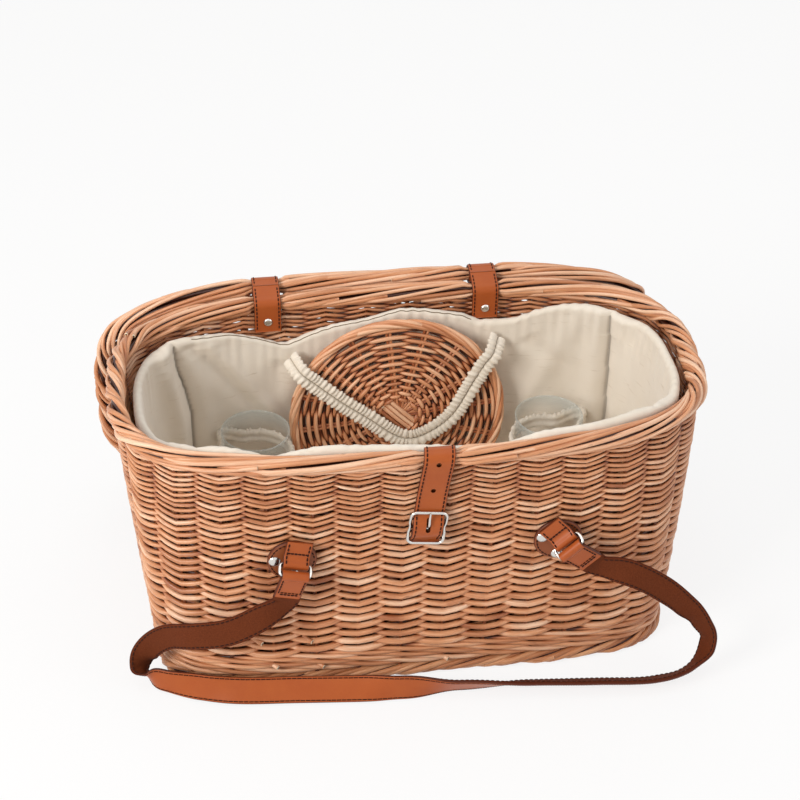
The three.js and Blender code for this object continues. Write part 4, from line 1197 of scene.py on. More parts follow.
@dataclass
class Border:
    """A border of willow rods, rolled in groups round an outline, with a core."""

    name: str
    body: str
    node: str
    plan: Plan
    height: float
    radius: float
    turns: int
    groups: int
    rods: int
    rod: float
    seed: int
    waists: Sequence[Waist] = ()
    rod_length: float = 225.0
    cut_share: float = 0.3
    floor: float | None = None
    finish: Finish = WILLOW
    matrix: Matrix | None = None
    loose_ends: float = 1.0
    calm: float = 0.35
    lap: float = 16.0
    step: float = 4.0

    def spot(self, u: Array) -> tuple[Array, Array, Array]:
        """The rope at shares of its outline.

        Args:
            u: the shares.

        Returns:
            The rope's middle, its outward normal and how tightly it is held, 0 to 1.
        """
        x, y, nx, ny = self.plan.at(u)
        hold = np.zeros(len(u))
        for waist in self.waists:
            middle = self.plan.find(waist.x, waist.side)
            away = np.abs((u - middle + 0.5) % 1.0 - 0.5) * self.plan.length
            near = 1 - smooth((away - waist.width / 2 - 0.5) / 7.0)
            y = y + (waist.side * abs(waist.depth) - y) * near
            nx = nx * (1 - near)
            ny = ny + (waist.side - ny) * near
            hold = np.maximum(hold, near)
        size = np.hypot(nx, ny)
        middle = np.stack([x, y, np.full(len(u), self.height)], axis=-1)
        normal = np.stack([nx / size, ny / size, np.zeros(len(u))], axis=-1)
        return middle, normal, hold

    def corner(self, u: Array) -> Array:
        """1 round the ends of the outline and 0 along its front and back."""
        return smooth((np.abs(self.plan.at(u)[0]) - self.plan.a + 34) / 30)

    def twist(self, u: Array) -> Array:
        """How many times the rods have gone round the rope, slowly along the sides and faster at the ends.

        Args:
            u: shares of the outline.

        Returns:
            The turns at each of them.
        """
        steps = np.linspace(0, 1, 1201)
        pace = self.calm + (1 - self.calm) * 2.0 * self.corner(steps)
        done = np.concatenate([[0.0], np.cumsum((pace[1:] + pace[:-1]) / 2)])
        return self.turns * (np.floor(u) + np.interp(u - np.floor(u), steps, done / done[-1]))

    def rod_path(self, u: Array, angle: Array, ring: Array, radius: Array) -> tuple[Array, Array, Array]:
        """Where one rod runs.

        Args:
            u: its shares of the outline.
            angle: its place round the rope, in turns.
            ring: how far it lies from the rope's middle.
            radius: its own radius.

        Returns:
            Its points, the way it faces and its radii.
        """
        middle, normal, hold = self.spot(u)
        tight = 1 + (WAIST / (self.radius + 0.2) - 1) * hold
        t = angle * TURN
        away = normal * np.cos(t)[:, None] + UP * np.sin(t)[:, None]
        points = middle + away * (ring * tight)[:, None]
        radius = radius * tight
        if self.floor is not None:
            points[:, 2] = np.maximum(points[:, 2], self.floor + radius)
        return points, away, radius

    def add_length(
        self, shape: Shape, rng: Random, span: Pair, base: float, crown: float, total: float
    ) -> None:
        """Adds one rod, which dives under the others where it starts and is cut or tucked in where it ends.

        Args:
            shape: what it is added to.
            rng: where its wandering comes from.
            span: the shares of the outline where it starts and ends.
            base: its lane's place round the rope, in turns.
            crown: how far it lies from the rope's middle.
            total: the length of a rod once round the outline.
        """
        start, end = span
        steps = int((end - start) * total / self.step)
        u = np.linspace(start, end, steps)
        run = (u - start) * total
        rest = (end - u) * total
        corner = self.corner(u)
        loose = corner * self.loose_ends
        over = rng.random() < 0.3
        wide = rng.uniform(0.012, 0.034)
        if over:
            wide = wide + rng.uniform(0.05, 0.09) * corner
        sway = np.sin(run / 36.0 + rng.uniform(0, TURN)) * wide
        sway = sway + loose * np.sin(run / 21.0 + rng.uniform(0, TURN)) * 0.03
        lift = rng.uniform(-0.5, 0.4) + loose * rng.uniform(-0.8, 1.0) + (1.1 if over else 0)
        radius = self.rod * np.linspace(1.1, 0.8, steps) * rng.uniform(0.92, 1.1)
        is_cut = rng.random() < self.cut_share
        dive = 1 - smooth(run / 22.0)
        tuck = 0 if is_cut else 1 - smooth(rest / 20.0)
        lay = crown + lift - dive * self.rod * 1.5 - tuck * self.rod * 1.5
        if is_cut:
            lay = lay + (1 - smooth(rest / 24.0)) * 0.9
        tilt = (1 - smooth(rest / 40.0)) * rng.uniform(-0.02, 0.03)
        path, away, radii = self.rod_path(u, base + self.twist(u) + sway + tilt, lay, radius)
        add_rod(shape, path, radii, away, rng, cut=(False, is_cut))

    def build(self) -> None:
        """Makes the border."""
        rng = np.random.default_rng(self.seed)
        shape = Shape()
        total = math.hypot(self.plan.length, TURN * self.radius * 0.75 * self.turns)
        count = max(3, int(round(total / self.rod_length)))
        ring = self.radius - self.rod
        spread = self.rod * 2.0 / (TURN * ring)
        lap = self.lap / total
        for group in range(self.groups):
            for k in range(self.rods):
                lane = k - (self.rods - 1) / 2
                base = group / self.groups + lane * spread
                crown = ring - 0.3 * abs(lane)
                offset = rng.uniform(0, 1 / count)
                for n in range(count):
                    span = offset + n / count - lap, offset + (n + 1) / count + lap
                    self.add_length(shape, rng, span, base, crown, total)
        core = self.radius * 0.32
        for k in range(3):
            u = np.linspace(0, 1, int(self.plan.length / 7), endpoint=False)
            lay = np.full(len(u), core * 1.1)
            path, away, radii = self.rod_path(u, k / 3 + self.twist(u), lay, np.full(len(u), core))
            # painted shade: the core rods, deep inside the rope, are darkened
            add_rod(shape, path, radii, away, rng, closed=True, sides=6, tone=-1.4)
        shape.mount(self.name, self.finish, self.body, self.node, matrix=self.matrix)


@dataclass
class WovenWall:
    """The basket's side: stakes, waling at the foot and randing above it."""

    levels: tuple = (36, 130, 170, 200, 236)
    pitches: tuple = (4.9, 3.9, 3.3, 2.6, 2.35)
    depth: float = 2.45
    dip: float = 4.2
    stake: float = 1.9
    waling_rounds: int = 3
    waling_pitch: float = 6.8
    seed: int = 11
    samples: int = 10
    ends: tuple = ((-164.5, 56.7), (-137.5, 53.6), (-95.0, 50.9), (-124.5, 23.0), (-84.9, 19.5), (23.4, 16.0))

    def strip_of(self, u: Array, z: Array, out: Array) -> tuple[Array, Array]:
        """Points and outward normals near the wall.

        Args:
            u: shares of the outline.
            z: heights.
            out: how far outside the wall's middle.

        Returns:
            The points and the normals.
        """
        plan = body_plan(float(np.mean(z)))
        x, y, nx, ny = plan.at(u)
        normal = np.stack([nx, ny, np.zeros(len(u))], axis=-1)
        slope = (z - np.mean(z)) * math.tan(WALL_SLOPE)
        points = np.stack([x, y, z], axis=-1) + normal * (out + slope)[:, None]
        return points, normal

    def randing(self, shape: Shape, rng: Random, bottom: float, top: float) -> None:
        """Rows of single rods, each low before one stake and high behind the next.

        Args:
            shape: what they are added to.
            rng: where their unevenness comes from.
            bottom: where the lowest row starts.
            top: where no further row starts.
        """
        total = STAKES * self.samples
        u = np.arange(total) / total
        height = bottom
        row = 0
        while height < top:
            pitch = float(np.interp(height, self.levels, self.pitches))
            height += pitch / 2
            turn = (STAKES * u + row) / 2 % 1.0
            wave = np.tanh(1.6 * np.cos(TURN * turn)) / math.tanh(1.6)
            dip = self.dip * float(np.interp(height, (36, 110, 200, 236), (0.3, 1.0, 1.0, 0.75)))
            fall = dip * (4 * np.minimum(turn, 1 - turn) - 1)
            breaks = (rng.uniform(0, 1) + np.array([0, 0.34, 0.67]) + rng.uniform(-0.05, 0.05, 3)) % 1.0
            along = np.min([(u - b) % 1.0 for b in breaks], axis=0)
            rod = np.argmin([(u - b) % 1.0 for b in breaks], axis=0)
            radius = 0.57 * pitch * (1.12 - 0.4 * along) * rng.uniform(0.93, 1.06, 3)[rod]
            tone = rng.uniform(0.1, 0.8, 3)[rod] + 0.2 * ripple(u, rng, 6, 30)
            z = height + fall * (1 + 0.15 * ripple(u, rng, 4, 15)) + ripple(u, rng, 3, 9) * 0.3
            out = self.depth * wave + ripple(u, rng, 5, 20) * 0.2
            points, normal = self.strip_of(u, z, out)
            add_rod(shape, points, radius, normal, rng, closed=True, tone=tone, depth=out)
            height += pitch / 2
            row += 1

    def waling(self, shape: Shape, rng: Random, bottom: float) -> float:
        """Rounds of three rods that pass two stakes and go behind the third.

        Args:
            shape: what they are added to.
            rng: where their shades come from.
            bottom: where the lowest round starts.

        Returns:
            The height of their top.
        """
        u = np.arange(STAKES * self.samples) / (STAKES * self.samples)
        for k in range(self.waling_rounds):
            height = bottom + self.waling_pitch * (k + 0.5)
            for strand in range(3):
                phase = TURN * (round(STAKES / 3) * u + strand / 3)
                out = 0.5 - 2.3 * np.cos(phase) + ripple(u, rng, 3, 11) * 0.15
                z = height + 2.2 * np.sin(phase) + ripple(u, rng, 3, 9) * 0.25
                points, normal = self.strip_of(u, z, out)
                add_rod(shape, points, 2.05, normal, rng, closed=True, tone=rng.uniform(0, 0.8), depth=out)
        return bottom + self.waling_pitch * self.waling_rounds

    def cut_ends(self, shape: Shape, rng: Random) -> None:
        """Ends of rods that stand out of the weave with their pale cuts.

        Args:
            shape: what they are added to.
            rng: where their shades come from.
        """
        for x, z in self.ends:
            front = wall_front(z)
            path = [(x - 7, front + 5.5, z + 1.5), (x - 4, front + 2.5, z + 0.8), (x, front - 1.3, z)]
            add_rod(shape, spline(path, 8), 2.1, UP, rng, cut=(False, True))

    def stakes(self, shape: Shape, rng: Random) -> None:
        """Upright stakes from the foot into the rim.

        Args:
            shape: what they are added to.
            rng: where their sizes come from.
        """
        heights = np.linspace(WALL_BOTTOM - 6, RIM_HEIGHT - 2, 26)
        for k in range(STAKES):
            u = np.array([k / STAKES])
            path = np.array([(*np.ravel(body_plan(z).at(u)[:2]), z) for z in heights])
            radius = self.stake * rng.uniform(0.92, 1.06)
            # painted shade: the stakes are darkened because they stand in shadow behind the rods
            add_rod(shape, path, radius, path[0] * (1, 1, 0), rng, tone=-0.8)

    def build(self) -> None:
        """Makes the wall."""
        rng = np.random.default_rng(self.seed)
        shape = Shape()
        top = self.waling(shape, rng, WALL_BOTTOM + 0.6)
        self.randing(shape, rng, top + 1.0, RIM_HEIGHT - 5.0)
        self.stakes(shape, rng)
        self.cut_ends(shape, rng)
        shape.mount("wall_randing", WILLOW, "basket", "wall_weave")


@dataclass
class Board:
    """A woven board of sticks and weavers in an outline."""

    name: str
    body: str
    node: str
    plan: Plan
    middle: float
    sticks: int
    dome: float
    seed: int
    weaver: float = 1.9
    stick: float = 2.7
    pitch: float = 4.0
    notches: Sequence[tuple[float, float, float]] = ()
    finish: Finish = WILLOW
    matrix: Matrix | None = None

    def rise(self, x: Array, y: Array) -> Array:
        """How far the board domes at a point."""
        return self.dome * (1 - (x / self.plan.a) ** 2) * (1 - (y / self.plan.b) ** 2)

    def clear(self, x: Array, y: float) -> Array:
        """Where a row stays clear of the notches.

        Args:
            x: places along the row.
            y: the row's place.

        Returns:
            Whether each place is clear.
        """
        keep = np.ones(len(x), bool)
        for middle, half, depth in self.notches:
            keep &= ~((np.abs(x - middle) < half) & (y > depth))
        return keep

    def build(self) -> None:
        """Makes the board."""
        rng = np.random.default_rng(self.seed)
        shape = Shape()
        places = np.linspace(-1, 1, self.sticks) * (self.plan.a - 14)
        gap = places[1] - places[0]
        for x in places:
            reach = float(self.plan.depth_at(np.array([x]))[0]) - 0.5
            y = np.linspace(-reach, reach, 30)
            path = np.stack([np.full(30, x), y, self.middle + self.rise(np.full(30, x), y)], axis=-1)
            for middle, half, depth in self.notches:
                if abs(x - middle) < half + 3:
                    path = path[path[:, 1] < depth]
            add_rod(shape, path, self.stick, UP, rng)
        rows = int(2 * (self.plan.b - 2) / self.pitch)
        for row in range(rows):
            y = -self.plan.b + 2 + (row + 0.5) * self.pitch
            reach = self.plan.a * (1 - abs(y / self.plan.b) ** self.plan.n) ** (1 / self.plan.n) - 1.0
            x = np.arange(-reach, reach, 4.0)
            keep = self.clear(x, y)
            wave = np.tanh(1.5 * np.cos(np.pi * ((x - places[0]) / gap + row))) / math.tanh(1.5)
            z = self.middle + self.rise(x, np.full(len(x), y)) + wave * (self.weaver + 0.2)
            path = np.stack([x, y + ripple(x / (2 * reach), rng, 3, 9) * 0.3, z], axis=-1)
            change = np.diff(np.concatenate([[0], keep.astype(int), [0]]))
            for a, b in zip(np.flatnonzero(change == 1), np.flatnonzero(change == -1)):
                if b - a > 3:
                    radius = self.weaver * np.linspace(1.08, 0.9, b - a)
                    depth = wave[a:b] * (self.weaver + 0.2)
                    add_rod(shape, path[a:b], radius, UP, rng, sides=7, depth=depth)
        shape.mount(self.name, self.finish, self.body, self.node, matrix=self.matrix)


def rivet(
    shape: Shape, centre: Sequence[float], axis: Sequence[float], head: float, height: float, grip: float
) -> None:
    """Adds a domed rivet.

    Args:
        shape: what it is added to.
        centre: where the head meets the leather.
        axis: the way the head looks.
        head: the head's radius.
        height: the head's height.
        grip: what lies between head and washer.
    """
    back = [(0.1, -grip - 1), (head * 0.6, -grip - 1), (head * 0.68, -grip - 0.7)]
    back += [(head * 0.68, -grip), (1.3, -grip)]
    rim = [(1.3, -0.05), (head * 0.94, -0.05), (head, 0.15), (head * 0.98, 0.42)]
    dome = [
        (head * 0.92 * math.cos(a), 0.45 + (height - 0.45) * math.sin(a))
        for a in np.linspace(0.12, math.pi / 2 - 0.02, 9)
    ]
    lathe(shape, back + rim + dome, centre, axis, 36)


def closed_wire(points: Sequence[Sequence[float]], per: int = 12) -> Array:
    """A closed smooth loop.

    Args:
        points: what it passes.
        per: how many of its points lie from each of them to the next.

    Returns:
        The loop's points.
    """
    wrapped = [*points[-3:], *points, *points[:3]]
    path = spline(wrapped, (len(wrapped) - 1) * per)
    return path[3 * per : (3 + len(points)) * per]


def cut_out(obj: bpy.types.Object, cutters: Shape) -> None:
    """Takes closed forms out of an object.

    Args:
        obj: what is cut.
        cutters: the forms, in the basket's frame.
    """
    tool = cutters.piece("cutter", HIDE)
    modifier = obj.modifiers.new("holes", "BOOLEAN")
    modifier.operation = "DIFFERENCE"
    modifier.solver = "EXACT"
    modifier.use_self = True
    modifier.object = tool
    graph = bpy.context.evaluated_depsgraph_get()
    mesh = bpy.data.meshes.new_from_object(obj.evaluated_get(graph))
    obj.modifiers.clear()
    obj.data = mesh
    bpy.data.objects.remove(tool)


@dataclass
class HingeStraps:
    """Two leather straps that hang the lid on the rim."""

    tail: float = 25.0
    rivet_drop: float = 15.0
    fold_rise: float = 20.0
    middle: float = WAIST + GAP + LEATHER / 2

    def leaving(self, centre: Pair, upper: int) -> tuple[float, tuple]:
        """Where the strip leaves a loop for the fold.

        Args:
            centre: the loop's middle in (y, z) from the rim rope.
            upper: which side of the line to the fold it leaves on.

        Returns:
            The angle in degrees and the strip's end at the fold.
        """
        fold = np.array([HINGE_REACH[0] / 2, (HINGE_REACH[1] + self.fold_rise) / 2])
        reach = fold - np.array(centre)
        turn = math.atan2(reach[1], reach[0]) + upper * math.acos(self.middle / math.hypot(*reach))
        tangent = np.array(centre) + self.middle * np.array([math.cos(turn), math.sin(turn)])
        along = unit(fold - tangent)
        up = np.array([-along[1], along[0]])
        up = up if up[1] > 0 else -up
        end = fold - up * (LEATHER / 2 + GAP / 2) - along * 0.3
        return math.degrees(turn), tuple(end)

    def sewing(self, name: str, body: str, path: Array, out: Array) -> None:
        """Makes the stitches along both edges of a strip.

        Args:
            name: the piece's name.
            body: the body that it moves with.
            path: the strip's middle.
            out: the way the sewn face looks.
        """
        sewn = Shape()
        seams(sewn, path, out, HINGE_WIDTH / 2 - 2.2, LEATHER / 2 - SUNK, 4.0, 0.5, 2.0)
        sewn.mount(name, THREAD, body)

    def build(self) -> None:
        """Makes both hinges."""
        middle = self.middle
        for side, x in HINGE_X.items():
            origin = np.array([x, HINGE_Y, RIM_HEIGHT])
            turn, end = self.leaving((0, 0), 1)
            line = [(-middle, -self.tail), (-middle, -12), (-middle, -4)]
            line += arc((0, 0), middle, 180, turn) + [end]
            over = resample(spline(in_plane(line), 90), 1.6) + origin
            shape = Shape()
            out = outward_of(over, 1)
            strip(shape, over, HINGE_WIDTH, LEATHER, out)
            under = resample(in_plane(arc((0, 0), middle, 192, 460)), 1.6) + origin
            strip(shape, under, HINGE_WIDTH - 0.4, LEATHER, outward_of(under, -1))
            shape.mount(f"hinge_{side}_strap", HIDE, "basket", f"hinge_strap_{side}")
            self.sewing(f"hinge_{side}_strap_stitches", "basket", over, out)
            turn, end = self.leaving(HINGE_REACH, -1)
            line = [end] + arc(HINGE_REACH, middle, turn, turn - 352)
            loop = resample(in_plane(line), 1.6) + origin
            shape = Shape()
            out = outward_of(loop, 1)
            strip(shape, loop, HINGE_WIDTH, LEATHER, out)
            shape.mount(f"hinge_{side}_loop", HIDE, "hinge_loops", f"hinge_loop_{side}")
            half = len(loop) // 2
            self.sewing(f"hinge_{side}_loop_stitches", "hinge_loops", loop[:half], out[:half])
            shape = Shape()
            centre = origin + (0, -middle - LEATHER / 2 - 0.02, -self.rivet_drop)
            rivet(shape, centre, FRONT, 4.0, 1.8, LEATHER + 0.3)
            shape.mount(f"hinge_{side}_rivet", NICKEL, "basket", f"hinge_rivet_{side}")


@dataclass
class Closure:
    """The closing strap over the rim's front and its buckle."""

    width: float = 25.4
    thickness: float = 2.4
    bar_y: float = -129.23
    half_height: float = 15.6
    half_width: float = 14.9
    pinch: float = 0.8
    wire: float = 1.35
    web: float = 1.6
    prong: float = 1.1
    middle: float = CLOSURE_LOW_X
    slant: float = math.atan(9.0 / 74.0)
    hole: float = 2.1
    hole_heights: tuple = (240.0, 212.0)
    slot_radius: float = 1.9
    slot_reach: tuple = (6.9, -2.0)
    slot_height: float = 1.8

    def lean(self, z: Array) -> Array:
        """The strap's sideways place at a height."""
        rise = RIM_HEIGHT - BUCKLE_HEIGHT
        return self.middle + np.clip(z - BUCKLE_HEIGHT, -20, rise) * math.tan(self.slant)

    def turned(self, points: Array) -> Array:
        """Points turned with the slanting strap about the centre bar.

        Args:
            points: points of an upright buckle.

        Returns:
            The same points of the leaning one.
        """
        points = points - (self.middle, 0, BUCKLE_HEIGHT)
        c, s = math.cos(self.slant), math.sin(self.slant)
        x, z = points[:, 0] * c + points[:, 2] * s, points[:, 2] * c - points[:, 0] * s
        return np.stack([x + self.middle, points[:, 1], z + BUCKLE_HEIGHT], axis=-1)

    def strap(self) -> None:
        """Makes the strap, its holes and its stitches."""
        loop = WAIST + GAP + self.thickness / 2
        top_y = self.bar_y - 1.2
        wire_gap = 2.85
        over = 3.91
        low = BUCKLE_HEIGHT - self.half_height
        line = [(-RIM_HALF_DEPTH + loop, RIM_HEIGHT - 12), (-RIM_HALF_DEPTH + loop, RIM_HEIGHT - 6)]
        line += arc((-RIM_HALF_DEPTH, RIM_HEIGHT), loop, 0, 180, 15)
        line += [
            (wall_front(222) - 2.6, 222),
            (wall_front(205) - GAP - self.thickness / 2 - 0.6, 205),
            (top_y + wire_gap + 0.2, BUCKLE_HEIGHT + self.half_height + 2.5),
            (top_y + wire_gap + 0.3, BUCKLE_HEIGHT + self.half_height - 2),
            (self.bar_y - over + 0.6, BUCKLE_HEIGHT + 5),
            (self.bar_y - over, BUCKLE_HEIGHT),
            (self.bar_y - over + 0.6, BUCKLE_HEIGHT - 5),
            (top_y + wire_gap + 0.3, low + 2),
            (top_y + wire_gap + 0.2, low - 1.2),
        ]
        path = resample(spline(in_plane(line), 400), 1.4)
        run = travelled(path)
        level = len(path) - 1 - int(np.argmin(np.abs(path[::-1, 2] - BUCKLE_HEIGHT)))
        path[:, 0] = self.middle + (run[level] - run) * math.tan(self.slant)
        out = outward_of(path, -1)
        shape = Shape()
        strip(shape, path, self.width, self.thickness, out)
        obj = shape.mount("closure_strap_leather", HIDE, "basket", "closure_strap")
        cut_out(obj, self.holes())
        sewn = Shape()
        seams(sewn, path, out, self.width / 2 - 2.5, self.thickness / 2 - SUNK, 4.0, 0.52, 3.0)
        sewn.mount("closure_strap_stitches", THREAD, "basket")

    def holes(self) -> Shape:
        """What is punched out of the strap: round holes, and a slot for the prong.

        Returns:
            The closed forms that are taken out.
        """
        holes = Shape()
        for z in self.hole_heights:
            x = float(self.lean(np.array([z]))[0])
            lathe(holes, [(self.hole, -12), (self.hole, 12)], (x, -130.0, z), (0, 1, 0.12), 24)
        ring = circle(self.slot_radius, 24)
        ring[:, 1] += np.where(ring[:, 1] > 0, *self.slot_reach) + BUCKLE_HEIGHT + self.slot_height
        slot = np.array([(x + self.middle, y, z) for y in (-140.0, -122.0) for x, z in ring])
        near = np.arange(24)
        holes.add(self.turned(slot), grid_faces(2, 24, False), [near, near[::-1] + 24])
        return holes

    def frame_wire(self) -> None:
        """Makes the buckle's frame and its centre bar."""
        w, h, corner = self.half_width, self.half_height, 4.6
        outline = []
        for sx, sz, start in ((1, 1, 0), (-1, 1, 90), (-1, -1, 180), (1, -1, 270)):
            for angle in np.radians(np.linspace(start, start + 90, 9)):
                x = sx * (w - corner) + corner * math.cos(angle)
                outline.append((x, sz * (h - corner) + corner * math.sin(angle)))
        flat = resample(np.array([*outline, outline[0]]), 0.9)[:-1]
        flat[:, 0] -= np.sign(flat[:, 0]) * self.pinch * (1 - smooth((np.abs(flat[:, 1]) - 1.2) / 4.0))
        depth = self.bar_y - 1.2 * np.minimum(1.0, np.abs(flat[:, 1]) / (h * 0.8))
        loop = self.turned(np.stack([flat[:, 0] + self.middle, depth, flat[:, 1] + BUCKLE_HEIGHT], axis=-1))
        shape = Shape()
        shape.sweep(loop, circle(self.wire, 14), FRONT, closed=True)
        reach = w - self.pinch
        bar = [(x + self.middle, self.bar_y, BUCKLE_HEIGHT) for x in np.linspace(-reach, reach, 9)]
        shape.sweep(self.turned(np.array(bar)), circle(self.wire * 0.85, 14), FRONT)
        shape.mount("buckle_wire", NICKEL, "basket", "buckle_frame")

    def prong_wire(self) -> None:
        """Makes the prong that turns on the centre bar."""
        eye = self.wire * 0.85 + 0.1
        top = self.bar_y - 1.2 - self.wire - self.prong
        line = [
            (self.bar_y - eye - 0.2, 1.6), (self.bar_y - 3.9, 3.2), (self.bar_y - 5.9, 6.6),
            (top - 0.7, 11.5), (top - 0.3, self.half_height + 1.6),
        ]
        path = self.turned(spline(in_plane(line, self.middle), 40) + (0, 0, BUCKLE_HEIGHT))
        shape = Shape()
        size = self.prong * np.interp(np.linspace(0, 1, len(path)), [0, 0.8, 0.95, 1], [1, 0.95, 0.75, 0.35])
        shape.sweep(path, circle(size, 14), FRONT)
        ring = in_plane(arc((self.bar_y, 0), eye + 0.62, 0, 354), self.middle) + (0, 0, BUCKLE_HEIGHT)
        shape.sweep(ring, rounded(2.2, 1.2, 0.5), outward_of(ring, -1), closed=True)
        shape.mount("buckle_pin", NICKEL, "prong", "buckle_prong")

    def backing(self) -> None:
        """Makes the strap that holds the centre bar to the wall."""
        width = self.width - 4
        front = wall_front(188.0) - GAP - self.web
        slope = 24.0 * math.tan(WALL_SLOPE)
        y = front + self.web / 2
        shape = Shape()
        line = in_plane([(y, 12), (y + slope / 2, 0), (y + slope, -12)], self.middle)
        line = self.turned(spline(line, 24) + (0, 0, BUCKLE_HEIGHT))
        strip(shape, line, width, self.web, FRONT)
        half = (width - self.prong * 2 - 1.2) / 2
        for side in (-1, 1):
            x = self.middle + side * (width / 2 - half / 2)
            bend = [(y + 0.2, 1.7), *arc((self.bar_y, 0), 1.93, 60, 300), (y + 0.2, -1.7)]
            path = self.turned(resample(in_plane(bend, x), 0.8) + (0, 0, BUCKLE_HEIGHT))
            strip(shape, path, half, 0.96, outward_of(path, 1 if path[1, 2] > path[-1, 2] else -1))
        shape.mount("buckle_strap", DARK_HIDE, "basket", "buckle_backing")

    def build(self) -> None:
        """Makes the strap and the buckle."""
        self.strap()
        self.frame_wire()
        self.prong_wire()
        self.backing()


@dataclass(frozen=True)
class StrapEnd:
    """Where the shoulder strap leaves its sewn end."""

    point: Array
    along: Array
    suede: Array


@dataclass
class Anchor:
    """A patch on the wall with its tab, ring and the strap's sewn end."""

    side: str
    sign: int
    roll: float
    shift: Pair
    rivets: tuple
    height: float = 148.0
    reach: float = 111.0
    patch_radius: float = 20.5
    patch: float = 3.0
    rivet_height: float = 1.4
    eye: float = 2.0
    tab_width: float = 22.0
    ring_wire: float = 1.35
    ring_half: float = 12.9
    ring_lean: float = 60.0
    ring_depth: float = 10.0
    end_length: float = 24.0
    end_lean: float = 13.0
    end_thickness: float = 4.8

    def frames(self) -> tuple[Matrix, Matrix]:
        """The patch's frame and the tab's, in millimetres.

        Returns:
            The patch's frame, then the tab's.
        """
        spot = Vector((self.sign * self.reach, wall_front(self.height) - GAP, self.height))
        wall = Matrix.Translation(spot) @ Matrix.Rotation(WALL_SLOPE, 4, "X")
        move = Matrix.Translation(Vector((self.shift[0], 0, self.shift[1])))
        return wall, wall @ move @ Matrix.Rotation(math.radians(self.roll), 4, "Y")

    def build(self) -> StrapEnd:
        """Makes the anchor.

        Returns:
            Where the shoulder strap goes on.
        """
        wall, tab = self.frames()
        name = f"anchor_{self.side}"
        shape = Shape()
        r, h = self.patch_radius, self.patch
        profile = [(0.1, 0), (r * 0.6, 0), (r - 0.5, 0), (r - 0.1, 0.4), (r, 1.4), (r - 0.15, h - 0.6)]
        profile += [(r - 0.9, h - 0.1), (r - 1.5, h), (r * 0.8, h - 0.05), (r * 0.6, h), (r * 0.3, h)]
        lathe(shape, [*profile, (0.1, h)], (0, 0, 0), FRONT, 72)
        ring = np.hypot(shape.points[0][:, 0], shape.points[0][:, 2])
        shape.tone[0] = np.clip(ring - r + 1.2, 0, 1)
        shape.mount(f"{name}_patch_leather", DARK_HIDE, "basket", f"anchor_patch_{self.side}", matrix=wall)
        seam = r - 2.4
        around = [(math.cos(a) * seam, -h + SUNK, math.sin(a) * seam) for a in np.linspace(0, TURN, 90)]
        sewn = Shape()
        stitches(sewn, np.array(around), FRONT, 0, 0, 3.6, 0.48, 0.5)
        sewn.mount(f"{name}_patch_stitches", THREAD, "basket", matrix=wall)
        for i, (x, z) in enumerate(self.rivets, 1):
            shape = Shape()
            rivet(shape, (x, -h - 0.02, z), FRONT, 5.0, 2.0, h - 0.5)
            node = f"anchor_rivet_{self.side}_{i}"
            shape.mount(f"{name}_rivet_{i}_nickel", NICKEL, "basket", node, matrix=wall)
        top = (-(h + self.rivet_height + GAP * 3 + self.eye + LEATHER), 2.0)
        lean = math.radians(self.ring_lean)
        low = (top[0] - self.ring_depth * math.sin(lean), top[1] - self.ring_depth * math.cos(lean))
        self.tab(name, tab, top)
        self.ring(name, tab, top, low)
        return self.end(tab, low)

    def tab(self, name: str, matrix: Matrix, top: Pair) -> None:
        """Makes the smooth tab that holds the ring.

        Args:
            name: what its pieces' names start with.
            matrix: the tab's frame.
            top: the ring's upper bar, in (y, z).
        """
        flat = -(self.patch + GAP + LEATHER / 2)
        over = flat - self.rivet_height - GAP
        line = arc(top, self.eye + LEATHER / 2, 340, 100, 12)
        line += [(over - 0.6, top[1] + 6.5), (over, top[1] + 11), (flat, top[1] + 20)]
        path = resample(spline(in_plane(line), 120), 1.0)
        out = outward_of(path, 1)
        shape = Shape()
        strip(shape, path, self.tab_width, LEATHER, out)
        shape.mount(f"{name}_tab_leather", HIDE, "basket", f"anchor_tab_{self.side}", matrix=matrix)
        sewn = Shape()
        front = path[:, 2] > top[1] - 1.5
        front &= np.arange(len(path)) > len(path) * 0.25
        lift = LEATHER / 2 - SUNK
        seams(sewn, path[front], out[front], self.tab_width / 2 - 2.3, lift, 3.7, 0.58, 1.0)
        k = int(np.argmin(np.abs(path[:, 2] - top[1] - 9.5) + (path[:, 1] > flat) * 99))
        self.cross_row(sewn, path[k] + out[k] * lift, out[k], 9.4, 0.66)
        sewn.mount(f"{name}_tab_stitches", THREAD, "basket", matrix=matrix)

    @staticmethod
    def cross_row(shape: Shape, middle: Array, out: Array, half: float, radius: float) -> None:
        """Adds a row of stitches across a strip.

        Args:
            shape: what they are added to.
            middle: the row's middle.
            out: the way the sewn face looks.
            half: half the row's length.
            radius: the thread's radius.
        """
        row = middle + np.linspace(-half, half, 12)[:, None] * ACROSS
        stitches(shape, row, out, 0, 0, 3.1, radius, 0.1)

    def ring(self, name: str, matrix: Matrix, top: Pair, low: Pair) -> None:
        """Makes the ring.

        Args:
            name: what its name starts with.
            matrix: the tab's frame.
            top: its upper bar, in (y, z).
            low: its lower bar.
        """
        w = self.ring_half
        right = [(0, 0), (w - 3, 0), (w - 0.8, 0.08), (w, 0.3), (w, 0.7), (w - 0.8, 0.92), (w - 3, 1), (0, 1)]
        left = [(-x, t) for x, t in right[-2:0:-1]]
        around = [left[-1], *right, *left[:-1]]
        loop = closed_wire([(x, mix(top[0], low[0], t), mix(top[1], low[1], t)) for x, t in around])
        flat = unit(np.cross(ACROSS, (0, low[0] - top[0], low[1] - top[1])))
        shape = Shape()
        shape.sweep(loop, circle(self.ring_wire, 14), flat, closed=True)
        shape.mount(f"{name}_ring_nickel", NICKEL, "basket", f"anchor_ring_{self.side}", matrix=matrix)

